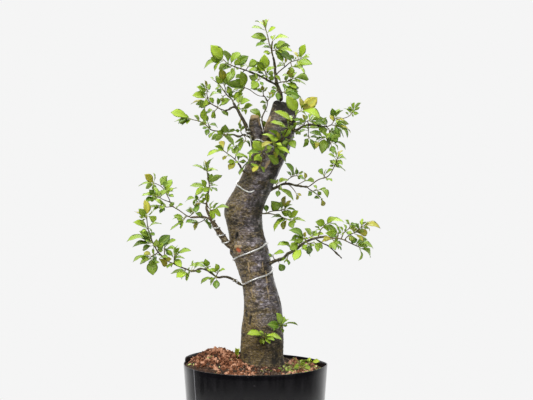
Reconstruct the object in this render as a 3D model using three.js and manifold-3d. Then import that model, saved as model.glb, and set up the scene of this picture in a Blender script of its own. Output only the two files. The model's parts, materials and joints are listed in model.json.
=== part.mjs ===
// Cherry plum bonsai in a black nursery pot, in millimetres with +Z up.
// The origin is the middle of the pot's underside. The front of the tree looks along -Y.
import * as THREE from 'three';
import { mergeVertices } from 'three/addons/utils/BufferGeometryUtils.js';
import Module from 'manifold-3d';

const wasm = await Module();
wasm.setup();

// Driving sizes

const pot = {
  rimRadius: 110,
  footRadius: 96.5,
  height: 185,
  wall: 1.4,
  floor: 2.5,
  sides: 56,
  drainRadius: 5,
  drainRing: 60,
  drains: 6,
  drainSides: 12,
};
const gap = 0.35;
const wireRadius = 1.15;
const leafThickness = { young: 0.9, fresh: 1.1, green: 1.3, dark: 1.5 };
const leafLength = 21;
const leafWidthRatio = 0.5;
const leafWidthMost = 16;
const petioleWidth = 1;
const stalkShortest = 2.2;
const twigRadius = { tip: 0.5, least: 0.6, most: 1.15, perLength: 1 / 110 };

// A leaf's real length against its seen one, and its shape as shares of its length or width
const leafShape = {
  leastLonger: 1.03, mostLonger: 1.25, leftWidest: 0.42, rightWidest: 0.5, apex: 0.46, fold: 0.07,
  arch: 0.09, archLeast: -0.1, archMost: 0.32, leastTilt: 0.4,
};

// Where leaves may start on a twig: behind its buried start and before its very tip
const openTwig = { buried: 2, mostBuried: 0.5, tip: 0.9, groundRadius: 4 };

// How far a point may move when slivers are tidied away
const tidyWithin = { stem: 0.06, shoot: 0.02 };

// Length of a straight step along a limb and the number of its sides
const steps = { trunk: 8, branch: 7, twig: 8.5, wire: 4.5 };
const sides = { trunk: 22, stub: 14, burr: 8, thickBranch: 8, thinBranch: 6, twig: 4, wire: 6 };

// How much deeper the crown is than the depths written with its branches and twigs.
const crownDepth = 1.5;

// Places on the tree are written as points of its front view, x to the right and y down, one unit
// being 1.532 mm on the pot's axis. A depth in millimetres goes with each, behind the axis when
// positive. at() turns both into a place, for an eye 1480 mm in front of the axis.
const view = { eyeX: 16.85, eyeZ: 434, eyeDistance: 1480, middleX: 266.5, middleY: 200, scale: 966 };

function at(x, y, depth = 0) {
  const size = (view.eyeDistance + depth) / view.scale;
  return new THREE.Vector3(
    view.eyeX + (x - view.middleX) * size,
    depth,
    view.eyeZ - (y - view.middleY) * size,
  );
}

// Solids

function solidOf(geometry) {
  const bare = geometry.clone();
  bare.deleteAttribute('normal');
  bare.deleteAttribute('uv');
  const merged = mergeVertices(bare, 1e-4);
  return new wasm.Manifold(new wasm.Mesh({
    numProp: 3,
    vertProperties: new Float32Array(merged.attributes.position.array),
    triVerts: new Uint32Array(merged.index.array),
  }));
}

// Closed solid over rings of equally many points, each end closed by a fan.
function skin(rings) {
  const count = rings[0].length;
  const points = rings.flat();
  const ends = [rings[0], rings[rings.length - 1]].map((ring) => {
    const middle = new THREE.Vector3();
    ring.forEach((point) => middle.addScaledVector(point, 1 / count));
    return points.push(middle) - 1;
  });
  const faces = [];
  for (let side = 0; side < count; side += 1) {
    const next = (side + 1) % count;
    for (let ring = 0; ring + 1 < rings.length; ring += 1) {
      const low = ring * count;
      const high = low + count;
      faces.push(low + side, low + next, high + next);
      faces.push(low + side, high + next, high + side);
    }
    const last = (rings.length - 1) * count;
    faces.push(ends[0], next, side);
    faces.push(ends[1], last + side, last + next);
  }
  return facesToSolid(points, faces);
}

function facesToSolid(points, faces) {
  const make = (triangles) => new wasm.Manifold(new wasm.Mesh({
    numProp: 3,
    vertProperties: new Float32Array(points.flatMap((point) => point.toArray())),
    triVerts: new Uint32Array(triangles),
  }));
  const solid = make(faces);
  return solid.volume() > 0 ? solid : make(faces.toReversed());
}

function meshOf(name, solid, look) {
  const { vertProperties, triVerts } = solid.getMesh();
  const geometry = new THREE.BufferGeometry();
  geometry.setAttribute('position', new THREE.BufferAttribute(vertProperties, 3));
  geometry.setIndex(new THREE.BufferAttribute(triVerts, 1));
  const mesh = new THREE.Mesh(geometry, look);
  mesh.name = name;
  return mesh;
}

function largestPiece(solid) {
  const pieces = solid.decompose();
  return pieces.reduce((best, piece) => (piece.volume() > best.volume() ? piece : best));
}

function boxed(solid) {
  return { solid, box: solid.boundingBox() };
}

function boxesMeet(first, second, margin) {
  return [0, 1, 2].every((axis) => (
    first.min[axis] - margin < second.max[axis] && second.min[axis] - margin < first.max[axis]
  ));
}

function isClear(piece, others, distance) {
  return others.every((other) => (
    !boxesMeet(piece.box, other.box, distance) || piece.solid.minGap(other.solid, distance) >= distance
  ));
}

// Values of a list at a share from 0 to 1 of its length.
function along(values, share) {
  const place = share * (values.length - 1);
  const index = Math.min(Math.floor(place), values.length - 2);
  return THREE.MathUtils.lerp(values[index], values[index + 1], place - index);
}

// A limb is a tapered round stem along a smooth line, cut into straight steps.
function makeLimb(points, radii, stepLength) {
  const curve = new THREE.CatmullRomCurve3(points, false, 'centripetal');
  const count = Math.max(2, Math.round(curve.getLength() / stepLength));
  return { curve, radii, steps: count, centres: curve.getSpacedPoints(count) };
}

function pointOn(limb, share) {
  const index = Math.min(Math.floor(share * limb.steps), limb.steps - 1);
  return limb.centres[index].clone().lerp(limb.centres[index + 1], share * limb.steps - index);
}

function limbSolid(limb, sideCount, grow = 0) {
  const frames = limb.curve.computeFrenetFrames(limb.steps, false);
  const rings = [];
  for (let step = 0; step <= limb.steps; step += 1) {
    const centre = limb.centres[step].clone();
    if (step === 0) centre.addScaledVector(frames.tangents[step], -grow);
    if (step === limb.steps) centre.addScaledVector(frames.tangents[step], grow);
    const radius = along(limb.radii, step / limb.steps) + grow;
    const ring = [];
    for (let side = 0; side < sideCount; side += 1) {
      const angle = (side / sideCount) * 2 * Math.PI;
      ring.push(centre.clone()
        .addScaledVector(frames.normals[step], radius * Math.cos(angle))
        .addScaledVector(frames.binormals[step], radius * Math.sin(angle)));
    }
    rings.push(ring);
  }
  return skin(rings);
}

// Nearest place on some limbs to a point of the front view, within the open shares of their length.
function nearestOn(limbs, x, y) {
  let best = { distance: Infinity };
  const samples = 80;
  limbs.forEach((limb) => {
    for (let sample = 0; sample <= samples; sample += 1) {
      const [first, last] = limb.open ?? [0, 1];
      const share = THREE.MathUtils.lerp(first, last, sample / samples);
      const point = pointOn(limb, share);
      const seen = at(x, y, point.y);
      const distance = Math.hypot(seen.x - point.x, seen.z - point.z);
      if (distance < best.distance) best = { distance, point, radius: along(limb.radii, share) };
    }
  });
  return best;
}

// Trunk, from below the soil to its slanted cut: front view row, left edge, right edge
const trunkEdges = [
  [386, 235, 291], [374, 237.5, 288], [358, 240.2, 283.4], [340, 240.7, 283.4], [322, 242.3, 283.2],
  [304, 244.3, 281.3], [286, 242.5, 275.9], [269, 237.5, 272], [258, 233.5, 270.5], [247, 230, 267.9],
  [233, 228.6, 263.4], [215, 224.6, 262], [205, 225.4, 264.3], [201, 227.3, 266], [190, 233.9, 271.4],
  [179.5, 239.8, 275.9], [161, 248, 284.3], [143.6, 258, 292], [132, 263, 295], [125.7, 265, 295.5],
  [116.8, 268.8, 296], [108, 271.2, 295.6], [100.7, 274, 292], [95, 278, 287],
];
const trunkLean = [0, 0, 2, 5, 3, -2, -4];
const trunkDepthRatio = 0.97;

// Lumps of the bark and the root flare, as shares of the trunk's radius
const barkLumps = [{ size: 0.03, around: 3, rows: 15 }, { size: 0.025, around: 5, rows: -21 }];
const rootFlare = { topRow: 315, rows: 70, size: 0.09, around: 5, turn: 0.9 };
const topCut = { at: at(280.5, 96, 12), normal: new THREE.Vector3(0.45, -0.58, 0.68).normalize(), size: 90 };

function trunkEdgesAt(row) {
  const last = trunkEdges.length - 1;
  let index = 1;
  while (index < last && trunkEdges[index][0] > row) index += 1;
  const before = trunkEdges[index - 1];
  const after = trunkEdges[index];
  const share = (before[0] - row) / (before[0] - after[0]);
  return [1, 2].map((edge) => THREE.MathUtils.lerp(before[edge], after[edge], share));
}

function trunkAt(row) {
  const [left, right] = trunkEdgesAt(row);
  const rise = (trunkEdges[0][0] - row) / (trunkEdges[0][0] - trunkEdges.at(-1)[0]);
  const depth = along(trunkLean, THREE.MathUtils.clamp(rise, 0, 1));
  const centre = at((left + right) / 2, row, depth);
  return { centre, radius: at(right, row, depth).x - centre.x };
}

// A place on the bark: angle 0 is right, 90 the back, 180 left and -90 the front.
function trunkPoint(row, degrees, out = 0) {
  const { centre, radius } = trunkAt(row);
  const angle = THREE.MathUtils.degToRad(degrees);
  const flare = Math.max(0, (row - rootFlare.topRow) / rootFlare.rows);
  const lumps = barkLumps.reduce(
    (sum, lump) => sum + lump.size * Math.sin(lump.around * angle + row / lump.rows),
    0,
  ) + rootFlare.size * flare * Math.cos(rootFlare.around * angle + rootFlare.turn);
  const reach = radius * (1 + lumps * Math.abs(Math.sin(angle))) + out;
  const sideways = new THREE.Vector3(Math.cos(angle), trunkDepthRatio * Math.sin(angle), 0);
  return centre.addScaledVector(sideways, reach);
}

// The snag stub at the top left and the burr on the left side
const stub = makeLimb([at(263, 160, -2), at(259, 146, -3), at(256, 133, -4), at(254.6, 121, -5),
  at(255.4, 115.5, -5)], [12, 12, 10.6, 10, 6], steps.trunk);
const burr = makeLimb([at(240, 252, 0), at(233.5, 252.3, -1), at(231.2, 252.4, -1)], [8, 6.5, 3.5],
  steps.trunk);

function makeTrunk(grow = 0) {
  const rowStep = 9;
  const rings = [];
  const lowest = trunkEdges[0][0] + grow;
  const highest = trunkEdges.at(-1)[0] - grow;
  const rows = Math.round((lowest - highest) / rowStep);
  for (let index = 0; index <= rows; index += 1) {
    const row = THREE.MathUtils.lerp(lowest, highest, index / rows);
    const ring = [];
    for (let side = 0; side < sides.trunk; side += 1) {
      ring.push(trunkPoint(row, (side / sides.trunk) * 360, grow));
    }
    rings.push(ring);
  }
  const cutter = new THREE.BoxGeometry(topCut.size, topCut.size, topCut.size);
  const turn = new THREE.Quaternion().setFromUnitVectors(new THREE.Vector3(0, 0, 1), topCut.normal);
  const away = topCut.size / 2 + grow;
  const middle = topCut.at.clone().addScaledVector(topCut.normal, away);
  cutter.applyMatrix4(new THREE.Matrix4().compose(middle, turn, new THREE.Vector3(1, 1, 1)));
  return skin(rings).subtract(solidOf(cutter))
    .add(limbSolid(stub, sides.stub, grow))
    .add(limbSolid(burr, sides.burr, grow));
}

// Pot: a thin wall whose rim stands higher at the back left and drops at the right. A waver is
// centred on an angle in radians and fades between two cosines of the angle away from it.
const rimWavers = [
  { height: 6, angle: 2.55, fadesFrom: 0.8, fadesTo: 0.93 },
  { height: -4, angle: 0.75, fadesFrom: 0.6, fadesTo: 1 },
];

function rimHeight(angle) {
  return rimWavers.reduce((height, waver) => (
    height + waver.height
      * THREE.MathUtils.smoothstep(Math.cos(angle - waver.angle), waver.fadesFrom, waver.fadesTo)
  ), pot.height);
}

function potRadius(z) {
  return THREE.MathUtils.lerp(pot.footRadius, pot.rimRadius, z / pot.height);
}

function ringAt(radius, z) {
  const ring = [];
  for (let side = 0; side < pot.sides; side += 1) {
    const angle = (side / pot.sides) * 2 * Math.PI;
    const height = typeof z === 'function' ? z(angle) : z;
    const reach = radius(height);
    ring.push(new THREE.Vector3(reach * Math.cos(angle), reach * Math.sin(angle), height));
  }
  return ring;
}

function makePot() {
  const inside = (z) => potRadius(z) - pot.wall;
  const shell = skin([
    ringAt(potRadius, 0),
    ringAt((z) => potRadius(z), rimHeight),
    ringAt(inside, rimHeight),
    ringAt(inside, pot.floor),
  ]);
  const drain = new THREE.CylinderGeometry(
    pot.drainRadius,
    pot.drainRadius,
    3 * pot.floor,
    pot.drainSides,
  );
  drain.rotateX(Math.PI / 2);
  const holes = [];
  for (let hole = 0; hole < pot.drains; hole += 1) {
    const angle = (hole / pot.drains) * 2 * Math.PI;
    const reach = pot.drainRing;
    holes.push(solidOf(drain).translate([reach * Math.cos(angle), reach * Math.sin(angle), 0]));
  }
  return shell.subtract(wasm.Manifold.union(holes));
}

// Soil: heaped on the left, level at the front and low on the right
const ground = {
  level: 181,
  belowRim: 3,
  heap: { height: 23, x: -66, y: -4, reachX: 34, reachY: 62 },
  collar: { height: 7, reach: 44 },
  dip: { depth: 7, from: 20, to: 85 },
};

function soilHeight(x, y) {
  const { level, heap, collar, dip } = ground;
  const away = -(((x - heap.x) / heap.reachX) ** 2) - (((y - heap.y) / heap.reachY) ** 2);
  const raised = heap.height * Math.exp(away);
  const aroundTree = collar.height * Math.exp(-((x * x + y * y) / collar.reach ** 2));
  return level + raised + aroundTree - dip.depth * THREE.MathUtils.smoothstep(x, dip.from, dip.to);
}

function makeSoil() {
  const inside = (z) => potRadius(z) - pot.wall - gap;
  const shares = [1, 0.93, 0.84, 0.73, 0.6, 0.46, 0.3, 0.15];
  const surface = shares.map((share) => {
    const ring = [];
    for (let side = 0; side < pot.sides; side += 1) {
      const angle = (side / pot.sides) * 2 * Math.PI;
      const reach = share * inside(pot.height);
      const top = soilHeight(reach * Math.cos(angle), reach * Math.sin(angle));
      const edge = Math.min(top, rimHeight(angle) - ground.belowRim);
      const [z, out] = share === 1 ? [edge, inside(edge)] : [top, reach];
      ring.push(new THREE.Vector3(out * Math.cos(angle), out * Math.sin(angle), z));
    }
    return ring;
  });
  const foot = pot.floor + gap;
  return skin([ringAt(inside, foot), ...surface]).subtract(makeTrunk(gap));
}

// Branches: depths, radii in millimetres and the line of every limb, thickest first
const branches = {
  burr_branch: [
    [[-6, -9, -14, -16], [4.8, 4.1, 2.6, 1.3], [[236, 249], [230.4, 245.9], [226.7, 242.4], [222.9, 237.6],
      [219.2, 232.2], [216, 227.4], [213.3, 222.6], [210.6, 217.8], [208.9, 213.1], [206.4, 209.5],
      [206.3, 206]]],
    [[-12.5, -8, -4], [1.5, 1.2, 0.9], [[213.3, 222.6], [209, 219], [204, 216.8], [197, 217], [190.5, 217.5]]],
  ],
  low_left_branch: [
    [[-8, -20, -34], [1.7, 1.25, 1.1], [[246, 286], [240.1, 284.2], [237.1, 281.8], [232.6, 279.3],
      [229.9, 277.7], [225.3, 276.7], [221.9, 276.9], [217.6, 277.7], [215.5, 276], [212.2, 273.7],
      [207.9, 270.8], [204.2, 269.2], [201.5, 268.6], [197.8, 269.2], [195.6, 270.8], [191.3, 271.1]]],
  ],
  stub_branch: [
    [[-14, -18, -16], [3, 2.2, 1.5], [[253, 139], [249.2, 134.7], [247.3, 129.6], [245.4, 124.5],
      [242.8, 119.4], [240.3, 115], [238.3, 110.5], [235.2, 106], [233.5, 103]]],
    [[-17, -24], [1.3, 1], [[236.4, 107.7], [233.5, 106.8], [231.3, 107.3], [228.8, 109.9], [225.6, 110.5]]],
  ],
  upper_left_branch: [
    [[0, 12, 20], [1.5, 1.2, 1], [[253, 138], [247.3, 136], [244.1, 134.4], [239.6, 136.7], [235.2, 135.4],
      [232, 134.1], [227.5, 136], [224.3, 135.4], [219.8, 130.9]]],
  ],
  left_spur: [
    [[-16, -20, -28], [1.7, 1.2, 1], [[251, 178], [247.3, 174.3], [244.1, 171.7], [242.2, 169.8],
      [241, 167.2], [238.3, 163.4]]],
  ],
  leader_branch: [
    [[-4, 0, 2, -4], [3.2, 2.2, 1.8, 1.3], [[281, 100], [280.7, 94.6], [278.5, 88.5], [276.5, 82.3],
      [275.4, 73.1], [274.6, 64], [273.4, 57.5]]],
    [[0, -8, -16], [1.6, 1.3, 1.1], [[278.2, 87], [273.9, 83.1], [270, 81.6], [264.7, 78.5], [260, 76],
      [254, 73.5], [249, 71.5]]],
  ],
  right_upper_branch: [
    [[-18, -12, 0, 8], [2.2, 1.7, 1.4, 1.2], [[281, 148], [286, 139.5], [290.5, 134.5], [296, 130.8],
      [301, 127.5], [307, 125.2], [313, 124.5], [320, 126]]],
  ],
  right_mid_branch: [
    [[0, 3, -4, -16], [1.9, 1.5, 1.3, 1.1], [[267, 192], [272.5, 189.5], [275, 188], [280, 185.5],
      [283, 184], [287, 183.5], [290, 184], [294, 185], [298, 185.7], [302, 186.3], [305, 186.6],
      [308, 187]]],
  ],
  right_long_branch: [
    [[-6, -10, -18, -30], [2.5, 1.9, 1.5, 1.2], [[265, 266.5], [271, 263.5], [273, 262], [276, 260.5],
      [279, 259.5], [282, 259], [284, 258], [285.5, 256], [287, 254], [289, 253], [292, 252],
      [294.5, 250.5], [297, 248.5], [300, 246], [303, 243.5], [306, 241.5], [309, 240.3], [313, 238.8],
      [316, 238], [320, 237.3], [324, 236.8], [327, 236.7]]],
    [[-22, -8], [0.8, 0.6], [[315, 238.3], [318, 240.5], [322, 242.8], [330, 247], [335, 251.8],
      [340, 256.5], [341.5, 258]]],
  ],
};

// Leafy shoots. The first twig starts on what it grows from and the others on an earlier twig. A
// twig's first number says how many millimetres further back it ends, and its points follow. A leaf
// gives its blade's base, its tip, its seen width, its age and how far it arches upwards in the front
// view. A pale leaf is a green one that shows its underside.
const shoots = {
  burr_tip_shoot: {
    on: 'burr_branch',
    twigs: [
      [-12, [206.3, 206], [207, 201], [207.5, 197], [208.2, 193.5], [209.3, 189.5], [209.5, 186.5],
        [208.5, 181], [207.6, 175], [206.9, 170.5]],
      [14, [206.6, 204], [203, 203.3], [199.5, 201], [196.8, 198]],
      [-10, [206.6, 206.5], [209.5, 209], [213, 210.8]],
    ],
    leaves: [
      [206.5, 170.5, 194.3, 166.6, 1.6, 'green', 1], [206.5, 169.5, 204.4, 161.5, 2.4, 'young'],
      [207.5, 169, 212.8, 159.5, 1.6, 'pale'], [208, 171.5, 216.6, 170.9, 2.2, 'fresh', 1.2],
      [210.5, 183, 220.7, 176.4, 4.2, 'pale'], [209.5, 183.5, 209, 177.6, 3, 'young'],
      [207, 187.3, 192.3, 186.3, 3.6, 'green', 0.8], [206, 189, 196.6, 193.6, 5, 'fresh'],
      [206, 186.8, 201.7, 180.8, 3.6, 'green'], [211, 186, 217, 185.8, 1.4, 'green'],
      [210.5, 187.5, 216.3, 190.8, 1.9, 'dark'], [208.7, 192.5, 205.2, 190.4, 1.6, 'green'],
      [198.8, 203.5, 196.4, 211.6, 4.6, 'dark'], [198, 199.5, 195, 196, 2.6, 'dark'],
      [199, 199.5, 204.6, 195.2, 2.2, 'green'], [196, 198, 187, 201.8, 2.7, 'green', 2.4],
      [204, 204, 202.6, 198.2, 2.6, 'fresh'], [209.5, 210.5, 219.2, 215, 4.6, 'fresh'],
      [214, 210.8, 227, 208.3, 2.3, 'green', 2], [210.5, 208.3, 213.4, 202, 1.7, 'green'],
    ],
  },
  burr_under_shoot: {
    on: 'burr_branch',
    twigs: [[12, [206, 217.7], [204, 220], [201.5, 221.6], [199, 222.4]]],
    leaves: [
      [204.3, 218.6, 196.6, 214.3, 4, 'pale'], [199.8, 223, 194.8, 229, 3.8, 'young'],
      [198, 222.2, 187.5, 222.6, 2.8, 'dark', 0.6], [204.8, 221.3, 210.3, 227.8, 3.2, 'dark'],
    ],
  },
  burr_left_shoot: {
    on: 'burr_branch',
    twigs: [
      [24, [190.5, 217.5], [187, 216], [183.7, 213.3], [180, 211.3], [178.5, 209.8], [175.1, 208.2],
        [172.7, 206.2], [171, 204.1], [170, 201.5], [168.9, 198.1], [167, 195.5], [165.9, 192.5],
        [164.8, 190.4], [162.7, 187.8], [161.2, 186.5], [159, 184.8], [156, 184], [153.5, 182.8]],
      [-18, [170.1, 202.3], [166.5, 200.9], [163.3, 199.6], [160.5, 198.3], [158, 196.5], [154.5, 196]],
      [-6, [173, 206.8], [169.5, 207.2], [165, 207], [161, 206.3]],
      [-8, [187, 216], [184.8, 218.2], [183.5, 220.5]],
      [8, [190.2, 217.4], [191.5, 214.8], [194, 212.6]],
    ],
    leaves: [
      [153.2, 182.6, 145.6, 175.6, 5.7, 'young'], [151.5, 183.2, 140.4, 186, 1.6, 'green'],
      [153, 184, 146.8, 188, 3.6, 'pale'], [160.8, 185, 166.8, 177.2, 5, 'pale'],
      [164.4, 188.8, 166.2, 182.4, 2.2, 'dark'], [166.3, 190.4, 171, 181, 6, 'green'],
      [166.6, 193, 169.9, 186.3, 3.4, 'fresh'], [167.5, 193, 176, 188.8, 1.6, 'green', 0.8],
      [168, 195, 173, 196.5, 2.6, 'green'], [157, 194.8, 154.7, 187.8, 2.7, 'green'],
      [154.6, 194.2, 149.8, 190.3, 4, 'dark'], [160.5, 197, 165, 190.8, 4.6, 'green'],
      [159, 198.3, 151.6, 200.2, 4, 'pale'], [153, 196.8, 147, 202, 4.2, 'dark'],
      [152.6, 195.6, 143.4, 196, 1.5, 'green'], [162.3, 205.5, 156.6, 199.6, 3.2, 'fresh'],
      [160, 206.5, 150.4, 208, 1.7, 'green', 0.8], [159.8, 207.5, 153.4, 211.8, 2.3, 'green'],
      [164, 208, 160.6, 212.6, 3, 'dark'], [168.8, 206, 173.4, 202.6, 2.6, 'pale'],
      [183, 221, 171.7, 228.9, 1.6, 'green', -1], [182.5, 217.6, 174, 219.2, 2.4, 'green'],
      [184.8, 219.6, 179.6, 223.6, 4, 'dark'], [192, 214, 186, 211, 2.4, 'dark', 1.4],
      [194.2, 212.2, 199.8, 204.6, 3.7, 'young'], [193.8, 211.6, 188.8, 208.2, 1.6, 'green'],
      [176.5, 208.3, 182.2, 205.2, 1.6, 'green', 1.3],
    ],
  },
  low_left_shoot: {
    on: 'low_left_branch',
    twigs: [
      [-36, [192.2, 271.8], [188.8, 269.9], [185.2, 268.7], [182.4, 267.6], [178, 266], [175.1, 264.4],
        [172.1, 262.9], [169.1, 262.2], [166.5, 260.5], [164.4, 258.4], [162.2, 255.8], [159.4, 253.7],
        [157.5, 251.5], [155.5, 248], [154.1, 245.5], [152.4, 241.7], [150.9, 238.7], [150.9, 235.7],
        [149.6, 233.5], [148.2, 229.5], [147.7, 227], [147.2, 223], [146.7, 216.5]],
      [16, [164.2, 258.2], [164.6, 254.5], [164.3, 250.5], [165, 246.5]],
      [-12, [175.1, 264.4], [174, 260.5], [174.3, 257.5], [175, 254.8]],
      [-14, [189.6, 270.4], [189.3, 272.6], [188, 274]],
      [14, [158.5, 252.6], [155, 254.4], [151.8, 256.4], [149.8, 258.4]],
    ],
    leaves: [
      [148.3, 238.8, 129.8, 241.5, 3.2, 'green', 2.4], [149.6, 240.5, 146.4, 231.6, 2.2, 'dark'],
      [147, 229.5, 135, 223.3, 4, 'fresh', 1.8], [150, 225.8, 160, 224.5, 1.6, 'green', 1.4],
      [150, 231.5, 154, 235, 3, 'dark'], [146.2, 214.5, 145, 201.6, 4.7, 'young'],
      [145.2, 216, 139.4, 209.8, 5, 'green'], [148.6, 215.8, 155, 219.6, 5.2, 'fresh'],
      [145.4, 217.8, 136, 212.6, 1.6, 'young'], [157.4, 246.3, 168.2, 236.8, 7.4, 'dark'],
      [166, 245.6, 174.6, 241, 2.7, 'green'], [162.6, 248.6, 165.4, 243, 1.8, 'green'],
      [165.8, 251.2, 171, 253, 4, 'dark'], [166.4, 249.2, 176, 249.6, 3, 'green', 0.8],
      [158, 249.5, 160.4, 244.6, 4.8, 'pale'], [151, 246, 143.8, 249.4, 4, 'green'],
      [150.6, 243.8, 135, 246.9, 2.5, 'green', 1.2], [150.4, 242.6, 138, 243.2, 2.1, 'dark'],
      [172.6, 257, 168, 251.8, 1.8, 'green'], [175.3, 254, 176.4, 247.8, 1.5, 'green'],
      [176.6, 254.6, 189, 251.4, 3, 'green', 1.5], [176, 257.6, 183.6, 258.6, 1.5, 'green'],
      [175.6, 259.5, 181, 266, 5.2, 'fresh'], [173, 262, 168, 267.6, 2.3, 'green'],
      [187.2, 272.4, 178, 276.8, 5, 'fresh'], [184.6, 271, 172.4, 273.6, 2.4, 'green', 0.8],
      [188.8, 275.2, 187.2, 280.4, 2.4, 'green'], [194.6, 268.6, 199, 263.4, 2.4, 'green'],
      [156, 256.2, 155, 261.4, 3, 'dark'], [150.6, 255, 144.8, 253, 3, 'young'],
      [148.6, 257.4, 135.2, 261.6, 2.3, 'green', 2], [149.2, 259.6, 141.2, 263, 3.5, 'green'],
      [152, 260, 152.9, 273, 8.5, 'green'], [158.6, 258.6, 165.8, 264.6, 5, 'young'],
      [160.4, 257.4, 167, 257.6, 2.2, 'green'],
    ],
  },
  low_left_near_shoot: {
    on: 'low_left_branch',
    twigs: [[-10, [216.3, 276.8], [217, 274.6], [218, 272.2]]],
    leaves: [
      [216.6, 279.6, 216.2, 287.6, 5.4, 'dark'], [214.2, 278, 202.8, 283.2, 2, 'green', 1.6],
      [217.2, 272, 215.8, 264.8, 3.7, 'fresh'], [215.8, 272.6, 210.4, 269.6, 3, 'green'],
      [219.2, 271.4, 224.4, 269.8, 1.8, 'green'],
    ],
  },
  low_left_upper_shoot: {
    on: 'low_left_branch',
    twigs: [[14, [209, 271.6], [208.8, 269.3], [208.2, 267.2]]],
    leaves: [
      [208.4, 266.4, 205.4, 259.8, 5, 'green'], [206.6, 266.6, 199.4, 262.8, 1.6, 'green'],
      [206.6, 268, 192, 266.4, 2.3, 'green', 1.8],
    ],
  },
  stub_left_shoot: {
    on: 'stub_branch',
    twigs: [
      [-16, [225.6, 110.5], [220.5, 109.2], [217.9, 107.3], [214.1, 105.7], [210.3, 103.5],
        [208.4, 100.9], [207.4, 96.5], [206.6, 92.5], [207, 89]],
      [8, [210.3, 103.5], [208.3, 104.6], [206.3, 105.8]],
      [10, [217.9, 107.3], [216.6, 109.2], [215, 110.6]],
    ],
    leaves: [
      [205.4, 93.6, 197.8, 88, 3.6, 'green'], [208.3, 90, 210, 84.6, 3, 'pale'],
      [205.8, 87.8, 204.7, 81.4, 1.8, 'young'], [209.6, 97, 220, 94.6, 3, 'green', 2.2],
      [205.8, 98.6, 194.2, 96.3, 5.2, 'fresh', 1.4], [206, 102.6, 192.8, 104.2, 2, 'young', 1.8],
      [206.3, 104.2, 197.2, 104.4, 3.5, 'pale', 1.2], [204.8, 107, 205, 119.2, 6, 'fresh'],
      [213, 111.3, 207, 113.8, 2.2, 'dark'], [215.6, 111.5, 214.4, 117.6, 3.6, 'fresh'],
      [218.2, 105, 217.4, 98.8, 3, 'dark'], [213, 103.6, 210.6, 98.2, 3.6, 'fresh'],
      [205.2, 89.6, 200.8, 84.6, 1.8, 'dark'], [221.4, 111, 227, 115.6, 3, 'pale'],
    ],
  },
  stub_upper_shoot: {
    on: 'stub_branch',
    twigs: [
      [20, [233.5, 103], [232.6, 99.7], [229, 97.3], [226, 93.5], [223.9, 91], [220.3, 85.4], [217, 82.7],
        [214.2, 80.4]],
      [-10, [224.6, 92], [225.4, 89], [225.3, 86.8], [223.6, 84.2]],
      [-9, [226.6, 94.4], [225, 95.2], [223.6, 96]],
    ],
    leaves: [
      [216.8, 81.2, 217.2, 76.2, 2.5, 'dark'], [213.4, 80, 210.6, 77.2, 1.5, 'green'],
      [223, 82.6, 220.3, 70.4, 6, 'young'], [225.9, 84.2, 233.8, 72.6, 6.6, 'green'],
      [226.8, 89, 231.4, 92.6, 5, 'fresh'], [223.2, 96.4, 221.8, 101, 3.6, 'young'],
      [221.4, 89.6, 217.6, 92.4, 4, 'dark'], [230.2, 99.6, 222.2, 103.8, 5, 'green'],
      [231.6, 97.6, 231.6, 91.6, 3, 'dark'], [234.4, 100, 240.8, 93, 5.4, 'fresh'],
      [230, 96, 237.6, 91, 1.8, 'dark', 0.8], [222.2, 86.2, 216, 88.4, 2.6, 'green'],
    ],
  },
  stub_right_shoot: {
    on: 'stub_branch',
    twigs: [
      [-12, [236.6, 108], [237.8, 105.4], [239.2, 103.6]],
      [-8, [238.6, 111], [241.4, 109.8], [243, 108]],
    ],
    leaves: [
      [240.9, 103.9, 248.8, 101, 4.6, 'green', 1.3], [238.4, 102, 242.6, 96.4, 4.3, 'pale'],
      [244.6, 107.5, 251.6, 105.4, 4.2, 'green'], [241.6, 107.6, 245.8, 113, 3.4, 'fresh'],
    ],
  },
  upper_left_shoot: {
    on: 'upper_left_branch',
    twigs: [
      [20, [219.8, 130.9], [215.4, 130.9], [212.2, 130.6], [209.6, 128.4], [206.5, 125.8], [203.3, 122.6],
        [200.7, 121.7], [198.2, 120.7], [193, 119.8], [189.2, 118.2]],
      [-12, [209.8, 128.6], [208.6, 125.2], [208, 122.6]],
    ],
    leaves: [
      [188.2, 117.6, 173.3, 113.2, 7, 'fresh', 1], [188, 119.4, 176, 121.4, 2, 'green', 0.6],
      [190, 119.8, 180, 123.4, 2.2, 'dark'], [199.4, 120, 194.6, 116, 3, 'pale'],
      [208, 129, 206.6, 134.6, 4.2, 'dark'], [209.8, 124.6, 216.4, 128, 2.3, 'dark', 1.8],
      [207.8, 121.8, 205.8, 116.4, 2.6, 'dark'], [206.4, 123.4, 200.4, 125.2, 2.6, 'pale'],
      [213.6, 132.2, 210, 137.4, 2.8, 'green'],
    ],
  },
  upper_left_near_shoot: {
    on: 'upper_left_branch',
    twigs: [[-10, [228, 135.8], [226, 134.6], [224.6, 134.4]]],
    leaves: [
      [224.8, 133, 225.2, 125.6, 6.5, 'green'], [222.8, 135.6, 213, 139.2, 4.6, 'pale'],
      [224.4, 136.6, 232.8, 145, 3.6, 'pale'], [227.4, 132.8, 234.6, 131, 2.2, 'pale'],
    ],
  },
  upper_left_base_shoot: {
    on: 'upper_left_branch',
    twigs: [
      [-8, [242.6, 135], [241, 132.4], [240.6, 129.6]],
      [-12, [244.8, 134.6], [245.8, 138], [245.4, 141.2]],
    ],
    leaves: [
      [239.4, 130.4, 235.8, 130.8, 2.4, 'dark'], [242, 129.6, 244.6, 126.4, 2.4, 'young'],
      [240.2, 128.4, 238.8, 123.4, 2.6, 'pale'], [244.6, 142.4, 239.8, 149.2, 4, 'fresh'],
      [243.8, 140.6, 236, 142.8, 1.8, 'pale'], [246.6, 141.6, 249.6, 146.4, 2, 'green'],
      [241.2, 128, 241.6, 119.4, 2.4, 'young'],
    ],
  },
  left_spur_shoot: {
    on: 'left_spur',
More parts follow.
